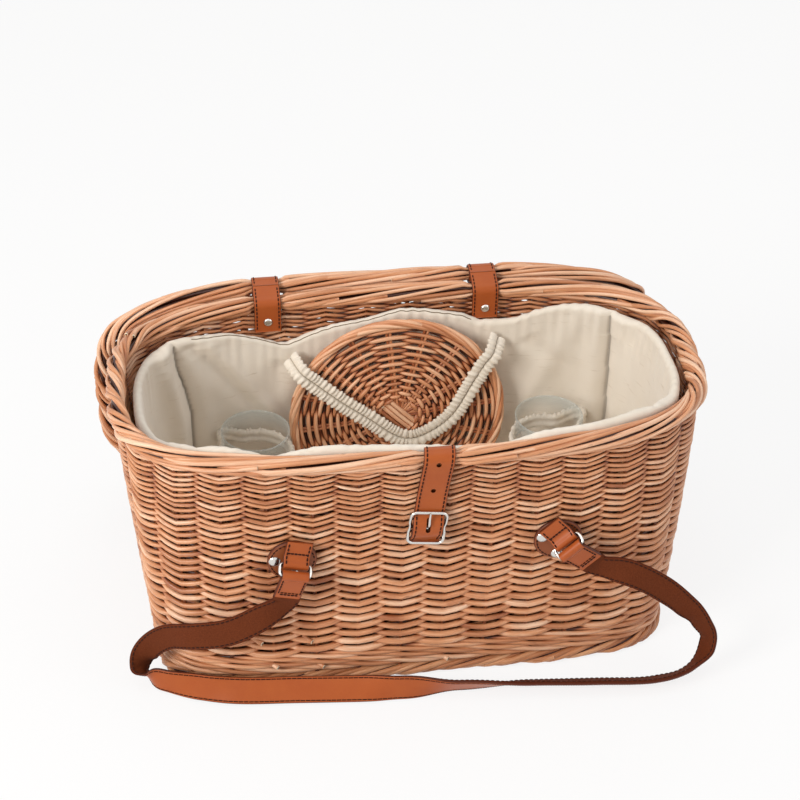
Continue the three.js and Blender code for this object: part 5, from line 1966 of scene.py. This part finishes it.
    def end(self, matrix: Matrix, low: Pair) -> StrapEnd:
        """Makes the shoulder strap's folded and sewn end.

        Args:
            matrix: the tab's frame.
            low: the ring's lower bar, in (y, z).

        Returns:
            Where the shoulder strap goes on.
        """
        lean = math.radians(self.end_lean)
        top = (low[0] - 0.6, low[1] - self.eye - LEATHER / 2)
        foot = (top[0] + self.end_length * math.sin(lean), top[1] - self.end_length * math.cos(lean))
        shape = Shape()
        ring = resample(in_plane(arc(low, self.eye + LEATHER / 2, 300, -20, 10)), 0.9)
        strip(shape, ring, STRAP_WIDTH, LEATHER, outward_of(ring, 1))
        path = resample(in_plane([(top[0] + 0.15, top[1] + 1.0), foot]), 1.2)
        out = outward_of(path, -1)
        strip(shape, path, STRAP_WIDTH, self.end_thickness, out)
        shape.mount(f"strap_end_{self.side}_leather", HIDE, "basket", f"strap_end_{self.side}", matrix=matrix)
        sewn = Shape()
        inset = STRAP_WIDTH / 2 - 2.4
        lift = self.end_thickness / 2 - 0.04
        seams(sewn, path[:-4], out[:-4], inset, lift, 3.7, 0.56, 0.6)
        for back, size in ((4.4, 0.62), (6.2, 0.5)):
            k = int(len(path) - 1 - back / 1.2)
            self.cross_row(sewn, path[k] + out[k] * lift, out[k], inset, size)
        sewn.mount(f"strap_end_{self.side}_stitches", THREAD, "basket", matrix=matrix)
        turned, moved = np.array(matrix)[:3, :3], np.array(matrix)[:3, 3]
        along = np.array([0, math.sin(lean), -math.cos(lean)])
        point = turned @ (np.array([0, *foot]) + GAP * along) + moved
        suede = turned @ np.array([0, -math.cos(lean), -math.sin(lean)])
        return StrapEnd(point, turned @ along, suede)


def lining_plan(z: float, extra: float = 0.0) -> Plan:
    """The lining's outer outline at a height, moved in by extra."""
    t = min(1.0, (z - WALL_BOTTOM) / (RIM_HEIGHT - WALL_BOTTOM))
    return body_plan(min(z, RIM_HEIGHT), mix(4.6, 9.5, t) + extra)


CREST = {
    1: (
        (-235, 228), (-213, 229), (-192, 231), (-175, 229), (-144, 225), (-121, 216), (-103, 208), (-94, 205),
        (-73, 214), (-46, 221), (-19, 226), (10, 233), (38, 230), (72, 224), (79, 216), (104, 216),
        (116, 218), (132, 226), (160, 235), (179, 237), (198, 234), (213, 233), (235, 240),
    ),
    -1: (
        (-235, 234), (-160, 247), (-126, 239), (-111, 244), (-79, 249), (-22, 246), (36, 239), (61, 238),
        (93, 247), (143, 248), (177, 249), (235, 243),
    ),
}  # the heights of the lining's edge at the back (1) and the front (-1)


def lining_top(x: Array, y: Array) -> Array:
    """The height of the lining's edge.

    Args:
        x: places along the basket.
        y: their places from front to back.

    Returns:
        The height at each of them.
    """
    rear, front = (
        np.mean([np.interp(x + move, *zip(*CREST[side])) for move in (-6, -3, 0, 3, 6)], axis=0)
        for side in (1, -1)
    )
    return front + (rear - front) * smooth((y + 60) / 120)


@dataclass
class Lining:
    """The padded cotton lining: wall bag and floor pad."""

    pad: float = 8.0
    foot: float = 21.4
    floor: float = 33.4
    crest: float = 228.0
    around: int = 900
    rows: int = 72
    fold_count: int = 26
    gather_waves: int = 9
    seed: int = 31
    seams: tuple = (
        (1, 9.0, ((90, -179), (148, -179), (176, -183), (205, -190), (232, -193))),
        (1, 4.0, ((90, 199), (239, 195))),
        (-1, 3.0, ((90, -182), (240, -180))),
        (-1, 3.0, ((90, 192), (240, 190))),
    )
    sags: tuple = (
        (1, -3.2, 8.0, ((150, -125), (185, -150), (222, -178))),
        (1, 2.4, 9.0, ((150, -106), (185, -131), (222, -160))),
        (1, 2.0, 12.0, ((120, 120), (160, 140), (225, 172))),
        (1, -2.2, 10.0, ((110, 170), (170, 158), (200, 128))),
        (1, -2.0, 9.0, ((90, -60), (170, -104), (205, -98))),
    )

    def beside(self, plan: Plan, u: Array, side: int, line: tuple, z: float) -> Array:
        """How far shares of the outline lie from a line down the cloth, more towards the basket's end.

        Args:
            plan: the outline.
            u: the shares.
            side: the back (1) or the front (-1).
            line: the line's heights and their x.
            z: the height.

        Returns:
            The signed distances.
        """
        x = float(np.interp(z, *zip(*line)))
        away = (u - plan.find(x, side) + 0.5) % 1.0 - 0.5
        return -side * math.copysign(1, x) * away * plan.length

    def folds(self, u: Array, t: float) -> Array:
        """How far the inner face stands in at shares of the outline, t of the way up.

        Args:
            u: shares of the outline.
            t: 0 at the foot, 1 at the crest.

        Returns:
            The distance in millimetres.
        """
        rng = np.random.default_rng(self.seed)
        plan = lining_plan(RIM_HEIGHT, self.pad)
        run = u * plan.length
        z = mix(self.foot, self.crest, t)
        puff = 1.8 * math.sin(math.pi * min(1, t * 1.02)) + np.zeros(len(u))
        for side, roll, line in self.seams:
            away = self.beside(plan, u, side, line, z)
            deep = smooth((t - 0.1) / 0.2) * (1 - 0.3 * smooth((t - 0.9) / 0.1))
            puff += deep * (-6.5 * np.exp(-np.abs(away) / 2.6) + roll * np.exp(-(((away - 15) / 11) ** 2)))
            puff += deep * 2.6 * np.exp(-(((away + 13) / 9) ** 2))
        for side, height, width, line in self.sags:
            away = self.beside(plan, u, side, line, z)
            low, high = line[0][0], line[-1][0]
            fade = smooth((z - low + 30) / 40) * (1 - smooth((z - high) / 12))
            puff += height * fade * np.exp(-((away / width) ** 2))
        for _ in range(self.fold_count):
            start = rng.uniform(0, plan.length)
            slant = rng.uniform(-70, 70)
            width = rng.uniform(6, 16)
            height = rng.uniform(0.5, 1.7)
            low, high = sorted(rng.uniform(0.05, 1.05, 2))
            high = max(high, low + 0.25)
            away = (run - start - slant * (t - 0.5) + plan.length / 2) % plan.length - plan.length / 2
            fade = smooth((t - low) / 0.1) * (1 - smooth((t - high) / 0.1))
            beside = (np.abs(away) - width * 1.3) / (width * 0.6)
            puff += height * fade * (np.exp(-((away / width) ** 2)) - 0.5 * np.exp(-(beside**2)))
        gather = smooth((t - 0.76) / 0.2)
        wave = 0
        for _ in range(self.gather_waves):
            count = max(1, round(plan.length / rng.uniform(7, 17)))
            wave = wave + np.sin(TURN * count * u + rng.uniform(0, TURN) + (1 - t) * rng.uniform(-2, 2))
        swell = 0.5 + 0.5 * np.sin(TURN * (5 * u + 0.2)) * np.sin(TURN * (3 * u + 0.5))
        puff += gather * wave * 0.13 * (0.35 + 0.8 * swell)
        return puff

    def creases(self, u: Array, t: float) -> Array:
        """How much painted shade darkens the seams' creases at shares of the outline, t of the way up.

        Args:
            u: shares of the outline.
            t: 0 at the foot, 1 at the crest.

        Returns:
            0 for the plain cloth, towards 1 in a seam.
        """
        plan = lining_plan(RIM_HEIGHT, self.pad)
        z = mix(self.foot, self.crest, t)
        dark = np.zeros(len(u))
        for side, _, line in self.seams:
            away = self.beside(plan, u, side, line, z)
            dark += 0.55 * smooth((t - 0.1) / 0.2) * np.exp(-((away / 1.5) ** 2))
        return np.clip(dark, 0, 1)

    def face(self, u: Array, t: float, inset: float, stand: Array | float) -> Array:
        """Points of one face, t of the way up.

        Args:
            u: shares of the outline.
            t: 0 at the foot, 1 at the crest.
            inset: how far the face lies inside the lining's outer outline.
            stand: how far it then stands further in.

        Returns:
            The points.
        """
        plan = lining_plan(mix(self.foot, RIM_HEIGHT, t), inset)
        x, y, nx, ny = plan.at(u)
        cx, cy, _, _ = lining_plan(RIM_HEIGHT, self.pad / 2).at(u)
        stand = stand + 4.5 * smooth((np.abs(nx) - 0.7) / 0.3) * smooth((t - 0.5) / 0.5)
        z = self.foot + (lining_top(cx, cy) - 4.5 - self.foot) * t
        return np.stack([x - nx * stand, y - ny * stand, z], axis=-1)

    def build(self) -> None:
        """Makes the lining and its hem."""
        u = np.arange(self.around) / self.around
        levels = np.concatenate([np.linspace(0.02, 0.85, self.rows - 18), np.linspace(0.862, 1.0, 18)])
        inner = [self.face(u, t, self.pad, self.folds(u, t)) for t in levels]
        outer = [self.face(u, t, 0.0, 0.0) for t in np.linspace(1.0, 0.0, 22)]
        crest = self.turned_edge(u, inner[-1], outer[0])
        floor = []
        for share in (0.02, 0.25, 0.5, 0.7, 0.85, 0.94, 0.985):
            ring = inner[0] * (share, share, 1)
            ring[:, 2] = self.floor + 0.2 + 1.6 * share**12
            floor.append(ring)
        shown = [k for k, row in enumerate(inner) if row[:, 2].min() > self.floor + 3.0]
        inner = [inner[k] for k in shown]
        bottom = [outer[-1] * (s, s, 1) for s in (0.97, 0.8, 0.02)]
        rows = floor + inner + crest + outer + bottom
        dark = np.zeros((len(rows), self.around))
        # painted shade: the outer face and the bottom are dark brown, and the seams' creases are darker
        dark[len(floor + inner + crest) + 2 :] = 1.0
        dark[len(floor) : len(floor + inner)] = [self.creases(u, levels[k]) for k in shown]
        last = (len(rows) - 1) * self.around
        ends = [np.arange(self.around)[::-1], np.arange(self.around) + last]
        shape = Shape()
        faces = grid_faces(len(rows), self.around, False)
        shape.add(np.concatenate(rows), faces[:, ::-1], ends, tone=dark.ravel())
        obj = shape.mount("lining_cotton", COTTON, "basket", "lining", "lining_floor")
        hem = crest[2] + (0, -0.1, 0.1)
        hem = hem[(hem[:, 1] > 60) & (hem[:, 0] > -178) & (hem[:, 0] < 75)]
        sewn = Shape()
        sewn.sweep(hem, circle(0.4, 6), UP)
        sewn.mount("lining_hem", HEM_THREAD, "basket")

    def turned_edge(self, u: Array, inner: Array, outer: Array) -> list[Array]:
        """The rows of points over the lining's edge, a little uneven.

        Args:
            u: shares of the outline.
            inner: the inner face's top row.
            outer: the outer face's top row.

        Returns:
            The rows between them.
        """
        rng = np.random.default_rng(self.seed + 1)
        bumps = 1 + 0.12 * ripple(u, rng, 8, 26) + 0.06 * ripple(u, rng, 60, 140)
        rows = []
        for k in range(1, 10):
            angle = math.pi * k / 10
            row = inner + (outer - inner) * (0.5 - 0.5 * math.cos(angle))
            row[:, 2] = inner[:, 2] + (outer[:, 2] - inner[:, 2]) * k / 10 + 4.8 * math.sin(angle) * bumps
            rows.append(row)
        return rows


def ruche(
    shape: Shape, path: Array, out: Array, width: float, thickness: float, rng: Random, pitch: float = 4.4,
    closed: bool = False
) -> None:
    """Adds gathered cotton on an elastic: two rows of slanted pleats beside a seam.

    Args:
        shape: what it is added to.
        path: its middle, with points under a quarter of the pitch apart.
        out: the way its front looks, one vector or one for each point.
        width: its width.
        thickness: its thickness.
        rng: where the pleats' unevenness comes from.
        pitch: from one pleat to the next.
        closed: whether it joins up.
    """
    run = travelled(path)
    share = run / run[-1]
    count = max(4, round(run[-1] / pitch))
    drift = ripple(share, rng, 5, 19) * 2.0
    sizes = [1 + 0.32 * ripple(share, rng, count // 3, count // 2) for _ in range(2)]
    gathered = 1.0 if closed else smooth((np.minimum(run, run[-1] - run) - 4) / 5)
    lanes = np.concatenate([np.linspace(-1, 1, 33), np.linspace(1, -1, 9)[1:-1]])
    front = np.arange(len(lanes)) < 33
    section = np.zeros((len(path), len(lanes), 2))
    for k, lane in enumerate(lanes):
        upper = lane > 0
        aside = drift if upper else -drift
        phase = TURN * (count * share + 0.16 * abs(lane) + (0.3 if upper else 0.0)) + aside
        bulk = sizes[int(upper)]
        puff = 0.55 + ((0.5 + 0.5 * np.cos(phase)) * bulk - 0.55) * gathered
        lobe = math.sqrt(max(0.0, 1 - ((abs(lane) - 0.52) / 0.5) ** 2))
        rise = thickness * (0.05 + 0.3 * lobe + 0.42 * lobe * np.maximum(puff, 0) ** 0.7)
        section[:, k, 0] = lane * width / 2 * (0.84 + 0.18 * puff)
        section[:, k, 1] = rise if front[k] else -thickness * 0.4 * lobe
    # painted shade in the pleats' hollows and along the middle seam, passed on as the pale value
    deep = np.clip(1 - section[..., 1] / (thickness * 0.42), 0, 1) * front * 0.55
    deep = np.maximum(deep, (np.abs(lanes) < 0.05) * front * 0.9)
    shape.add(*sweep(path, section, out, closed), None, 0.0, deep.ravel())


@dataclass
class Glass:
    """A tumbler standing in the lining inside its elastic loop."""

    side: str
    x: float
    y: float
    radius: float = 31.0
    foot_radius: float = 26.5
    height: float = 115.0
    wall: float = 1.6
    stand: float = 33.7
    drop: float = 30.0
    band: float = 13.0
    band_thickness: float = 4.0

    def build(self) -> None:
        """Makes the tumbler and its loop."""
        r, f, h, w = self.radius, self.foot_radius, self.height, self.wall
        waist = mix(f, r, 0.5)
        profile = [(0.1, 1.5), (f - 6, 1.0), (f - 4, 0.3), (f - 3, 0.0), (f - 1.6, 0.3)]
        profile += [(f - 0.5, 1.4), (f, 3.2)]
        profile += [(mix(f, waist, t), mix(3.2, h / 2, t)) for t in (0.33, 0.66, 1)]
        profile += [(mix(waist, r, t), mix(h / 2, h - 1, t)) for t in (0.33, 0.66, 1)]
        profile += [(r - 0.15, h - 0.3), (r - w / 2, h), (r - w + 0.15, h - 0.3), (r - w, h - 1)]
        profile += [(mix(r, waist, t) - w, mix(h - 1, h / 2, t)) for t in (0.33, 0.66, 1)]
        profile += [(mix(waist, f, t) - w, mix(h / 2, 12, t)) for t in (0.5, 0.9)]
        profile += [(f - w - 1.5, 9.0), (f - w - 4, 7.4), (f - 9, 6.9), (f * 0.4, 6.3), (0.1, 6.0)]
        shape = Shape()
        lathe(shape, profile, (self.x, self.y, self.stand), (0, 0, 1), 112)
        shape.pale[0] = (shape.points[0][:, 2] > self.stand + h - 1.2).astype(float)
        body = f"glass_{self.side}"
        shape.mount(f"{body}_tumbler", GLASS, body, body)
        up = self.height - self.drop
        z = self.stand + up
        snug = mix(waist, r, (up + self.band / 2) / (h / 2) - 1) + GAP
        sewn = math.atan2(self.y, self.x * 0.35)
        angle = np.linspace(0, TURN, 361)[:-1]
        away = (angle - sewn + math.pi) % TURN - math.pi
        wall = lining_plan(z, 8.0 + 2.2)
        reach = snug + 2.0
        while reach < 90 and self.inside(wall, sewn, reach):
            reach += 0.5
        near = np.maximum(0, np.cos(away)) ** 40
        ring = snug + self.band_thickness * 0.45 + (reach - snug - 3) * near
        middle = np.array([self.x, self.y, z])
        path = np.column_stack([np.cos(angle) * ring, np.sin(angle) * ring, np.zeros(360)]) + middle
        path = resample(np.concatenate([path, path[:1]]), 0.9)[:-1]
        out = unit(path - middle)
        shape = Shape()
        rng = np.random.default_rng(41 if self.side == "left" else 43)
        ruche(shape, path, out, self.band + 3, self.band_thickness, rng, 4.8, closed=True)
        shape.mount(f"{body}_ruche", COTTON, "basket", f"glass_loop_{self.side}")

    def inside(self, wall: Plan, angle: float, reach: float) -> bool:
        """Whether a point that far from the glass's middle is still inside the lining."""
        x, y = self.x + math.cos(angle) * reach, self.y + math.sin(angle) * reach
        return abs(x / wall.a) ** wall.n + abs(y / wall.b) ** wall.n < 1


@dataclass
class WickerTray:
    """The round wicker tray on the back and the elastic vee before it."""

    x: float = 6.0
    y: float = 84.0
    z: float = 133.22
    lean: float = 5.0
    radius: float = 99.5
    roll: float = 4.6
    stakes: int = 16
    weaver: float = 1.8
    pitch: float = 3.4
    stops: tuple = (
        (-95.5, 62.0), (-87.6, 54.8), (-76.0, 44.0), (-53.4, 23.7), (-26.2, 2.4), (-6.0, -14.2), (4.0, -19.5),
        (15.0, -20.5), (30.6, -14.2), (44.9, -3.6), (54.0, 7.6), (67.7, 33.2), (79.7, 53.8), (84.9, 60.4),
        (92.5, 70.5),
    )
    seed: int = 53

    def matrix(self) -> Matrix:
        """The tray's frame, in millimetres."""
        moved = Matrix.Translation(Vector((self.x, self.y, self.z)))
        return moved @ Matrix.Rotation(-math.radians(self.lean), 4, "X")

    def weaving(self, shape: Shape, rng: Random) -> None:
        """Adds the pairs of stakes, the rods woven round them and the cross in the middle.

        Args:
            shape: what they are added to.
            rng: where their unevenness comes from.
        """
        for k in range(self.stakes):
            angle = (k + 0.25) / self.stakes * TURN
            along = np.array([math.cos(angle), 0, math.sin(angle)])
            across = np.array([-math.sin(angle), 0, math.cos(angle)])
            for side in (-1, 1):
                reach = np.linspace(4.0, self.radius - self.roll, 24)
                spread = side * (1.1 + 0.5 * reach / self.radius)
                path = along * reach[:, None] + across * np.reshape(spread, (-1, 1))
                add_rod(shape, path, 1.45, FRONT, rng, sides=7, tone=rng.uniform(-0.4, 0.3))
        rings = np.arange(17.5, self.radius - 2 * self.roll - 0.5, self.pitch)
        for row, r in enumerate(rings):
            count = max(120, int(r * TURN / 2.6))
            angle = np.arange(count) / count * TURN
            wave = np.cos(self.stakes / 2 * angle - math.pi * 0.25 + math.pi * row)
            wave = np.tanh(1.5 * wave) / math.tanh(1.5) * 1.8
            r = r + ripple(angle / TURN, rng, 2, 7) * 0.25
            path = np.stack([r * np.cos(angle), wave, r * np.sin(angle)], axis=-1)
            radius = self.weaver * rng.uniform(0.92, 1.08) * (1 + 0.08 * ripple(angle / TURN, rng, 1, 3))
            add_rod(shape, path, radius, FRONT, rng, closed=True, depth=-wave)
        for level, turned in ((1.7, 0), (-1.7, 90)):
            for k in range(4):
                aside = (k - 1.5) * 4.3
                along = np.linspace(-17, 17, 12)
                bowed = level - 0.9 * (np.abs(along) / 17) ** 2 * np.sign(level)
                slope = math.radians(45 + turned)
                path = np.column_stack([
                    along * math.cos(slope) - aside * math.sin(slope),
                    bowed,
                    along * math.sin(slope) + aside * math.cos(slope),
                ])
                add_rod(shape, path, 2.15 * rng.uniform(0.93, 1.05), FRONT, rng, cut=(True, True))

    def border(self, shape: Shape, rng: Random) -> None:
        """Adds the rolled edge.

        Args:
            shape: what it is added to.
            rng: where its unevenness comes from.
        """
        ring = self.radius - self.roll
        for strand in range(5):
            for piece in range(4):
                start = piece / 4 + strand * 0.05 + rng.uniform(-0.02, 0.02)
                u = np.linspace(start, start + 0.275, 80)
                rest = (start + 0.275 - u) * TURN * ring
                run = (u - start) * TURN * ring
                turn = TURN * (strand / 5 + 5 * u) + 0.3 * np.sin(run / 20 + strand)
                tuck = (1 - smooth(run / 14)) + (1 - smooth(rest / 14))
                lay = 2.75 - 1.9 * tuck
                radial = ring + lay * np.cos(turn)
                path = np.stack([
                    radial * np.cos(u * TURN), lay * np.sin(turn), radial * np.sin(u * TURN)
                ], axis=-1)
                add_rod(shape, path, 1.95 * rng.uniform(0.93, 1.05), FRONT, rng)

    def vee(self) -> None:
        """Makes the ruched elastic."""
        lean = math.radians(self.lean)
        front = -(self.roll + GAP + 0.35 + 2.0)

        def wall_y(x: float, z: float) -> float:
            """The depth of the lining's face behind a point of the tray's plane.

            Args:
                x: the point's place from side to side.
                z: and up and down.

            Returns:
                The face's y in the tray's frame.
            """
            plan = lining_plan(z * math.cos(lean) + self.z, 10.8)
            depth = float(plan.depth_at(np.array([x + self.x]))[0])
            return (depth - self.y - z * math.sin(lean)) / math.cos(lean) - 1

        (left, *route, right) = self.stops
        line = [(left[0], wall_y(*left), left[1])]
        line += [(x, front, z) for x, z in route]
        line += [(right[0], wall_y(*right), right[1])]
        path = resample(spline(line, 600), 0.9)
        shape = Shape()
        ruche(shape, path, FRONT, 19.0, 5.0, np.random.default_rng(self.seed + 1), 4.4)
        shape.mount("tray_band_ruche", COTTON, "basket", "tray_band", matrix=self.matrix())

    def build(self) -> None:
        """Makes the tray and its band."""
        rng = np.random.default_rng(self.seed)
        shape = Shape()
        self.weaving(shape, rng)
        self.border(shape, rng)
        shape.mount("round_tray_willow", TRAY_WILLOW, "tray", "round_tray", matrix=self.matrix())
        self.vee()


def lid_matrix() -> Matrix:
    """The lid's frame, from shut and level to hanging open, in millimetres.

    Returns:
        The frame.
    """
    reach = LID_MIDDLE + LID_PLAN.b
    hang = math.asin((RIM_HEIGHT + HINGE_REACH[1] - ROPE_RADIUS) / reach)
    spot = Vector((0, HINGE_Y + HINGE_REACH[0], RIM_HEIGHT + HINGE_REACH[1]))
    turned = Matrix.Translation(spot) @ Matrix.Rotation(math.pi - hang, 4, "X")
    return turned @ Matrix.Translation(Vector((0, -LID_MIDDLE, 0)))


def build_basket() -> None:
    """Makes the woven body, its borders, base and lid."""
    hinges = [Waist(x, 1, HINGE_Y, HINGE_WIDTH) for x in HINGE_X.values()]
    closure = Waist(closure_x(RIM_HEIGHT + 8), -1, RIM_HALF_DEPTH, 28.4)
    rope = {"radius": ROPE_RADIUS, "turns": 6, "groups": 3, "rods": 3, "rod": 2.0, "cut_share": 0.45}
    Border(
        "rim_rods", "basket", "rim_border", RIM_PLAN, RIM_HEIGHT, seed=21, waists=[*hinges, closure], **rope
    ).build()
    foot_plan = Plan(FOOT_HALF_LENGTH, FOOT_HALF_DEPTH, FOOT_POWER)
    Border(
        "foot_rods", "basket", "foot_border", foot_plan, FOOT_RADIUS - FOOT_FLAT, FOOT_RADIUS,
        turns=13, groups=3, rods=2, rod=2.5, seed=22, rod_length=150.0, cut_share=0.8, floor=0.0,
        finish=SHADED_WILLOW, loose_ends=0.2, calm=0.8,
    ).build()
    WovenWall().build()
    base_plan = body_plan(WALL_BOTTOM, WALL_HALF + GAP)
    Board(
        "base_willow", "basket", "base_weave", base_plan, WALL_BOTTOM + 4.0, sticks=15, dome=0.0, seed=23
    ).build()
    held = [Waist(x, 1, LID_MIDDLE, HINGE_WIDTH) for x in HINGE_X.values()]
    Border(
        "lid_rods", "lid", "lid_border", LID_PLAN, 0.0, seed=24, waists=held, matrix=lid_matrix(), **rope
    ).build()
    inner = Plan(LID_PLAN.a - 4.2, LID_PLAN.b - 4.2, LID_PLAN.n)
    notches = [(x, HINGE_WIDTH / 2 + 1, LID_MIDDLE - 9.3) for x in HINGE_X.values()]
    Board(
        "lid_willow", "lid", "lid_panel", inner, 0.0, sticks=18, dome=9.0, seed=25, notches=notches,
        matrix=lid_matrix(),
    ).build()


def main() -> None:
    """Builds the whole scene."""
    logging.basicConfig(level=logging.INFO, format="%(name)s: %(message)s")
    Studio().build()
    left = Anchor("left", -1, 14.0, (1.5, 0.0), ((-14.6, 1.0), (1.0, -15.0)))
    right = Anchor("right", 1, -45.0, (6.0, 3.0), ((-13.8, 4.0), (-0.5, -15.2)))
    ends = {"left": left.build(), "right": right.build()}
    ShoulderStrap().build(ends)
    log.info("anchors and strap made")
    build_basket()
    log.info("willow made")
    HingeStraps().build()
    Closure().build()
    log.info("leather made")
    Lining().build()
    Glass("left", -126.0, 56.0).build()
    Glass("right", 139.0, 47.0).build()
    WickerTray().build()
    log.info("lining, glasses and tray made")


if __name__ == "__main__":
    main()
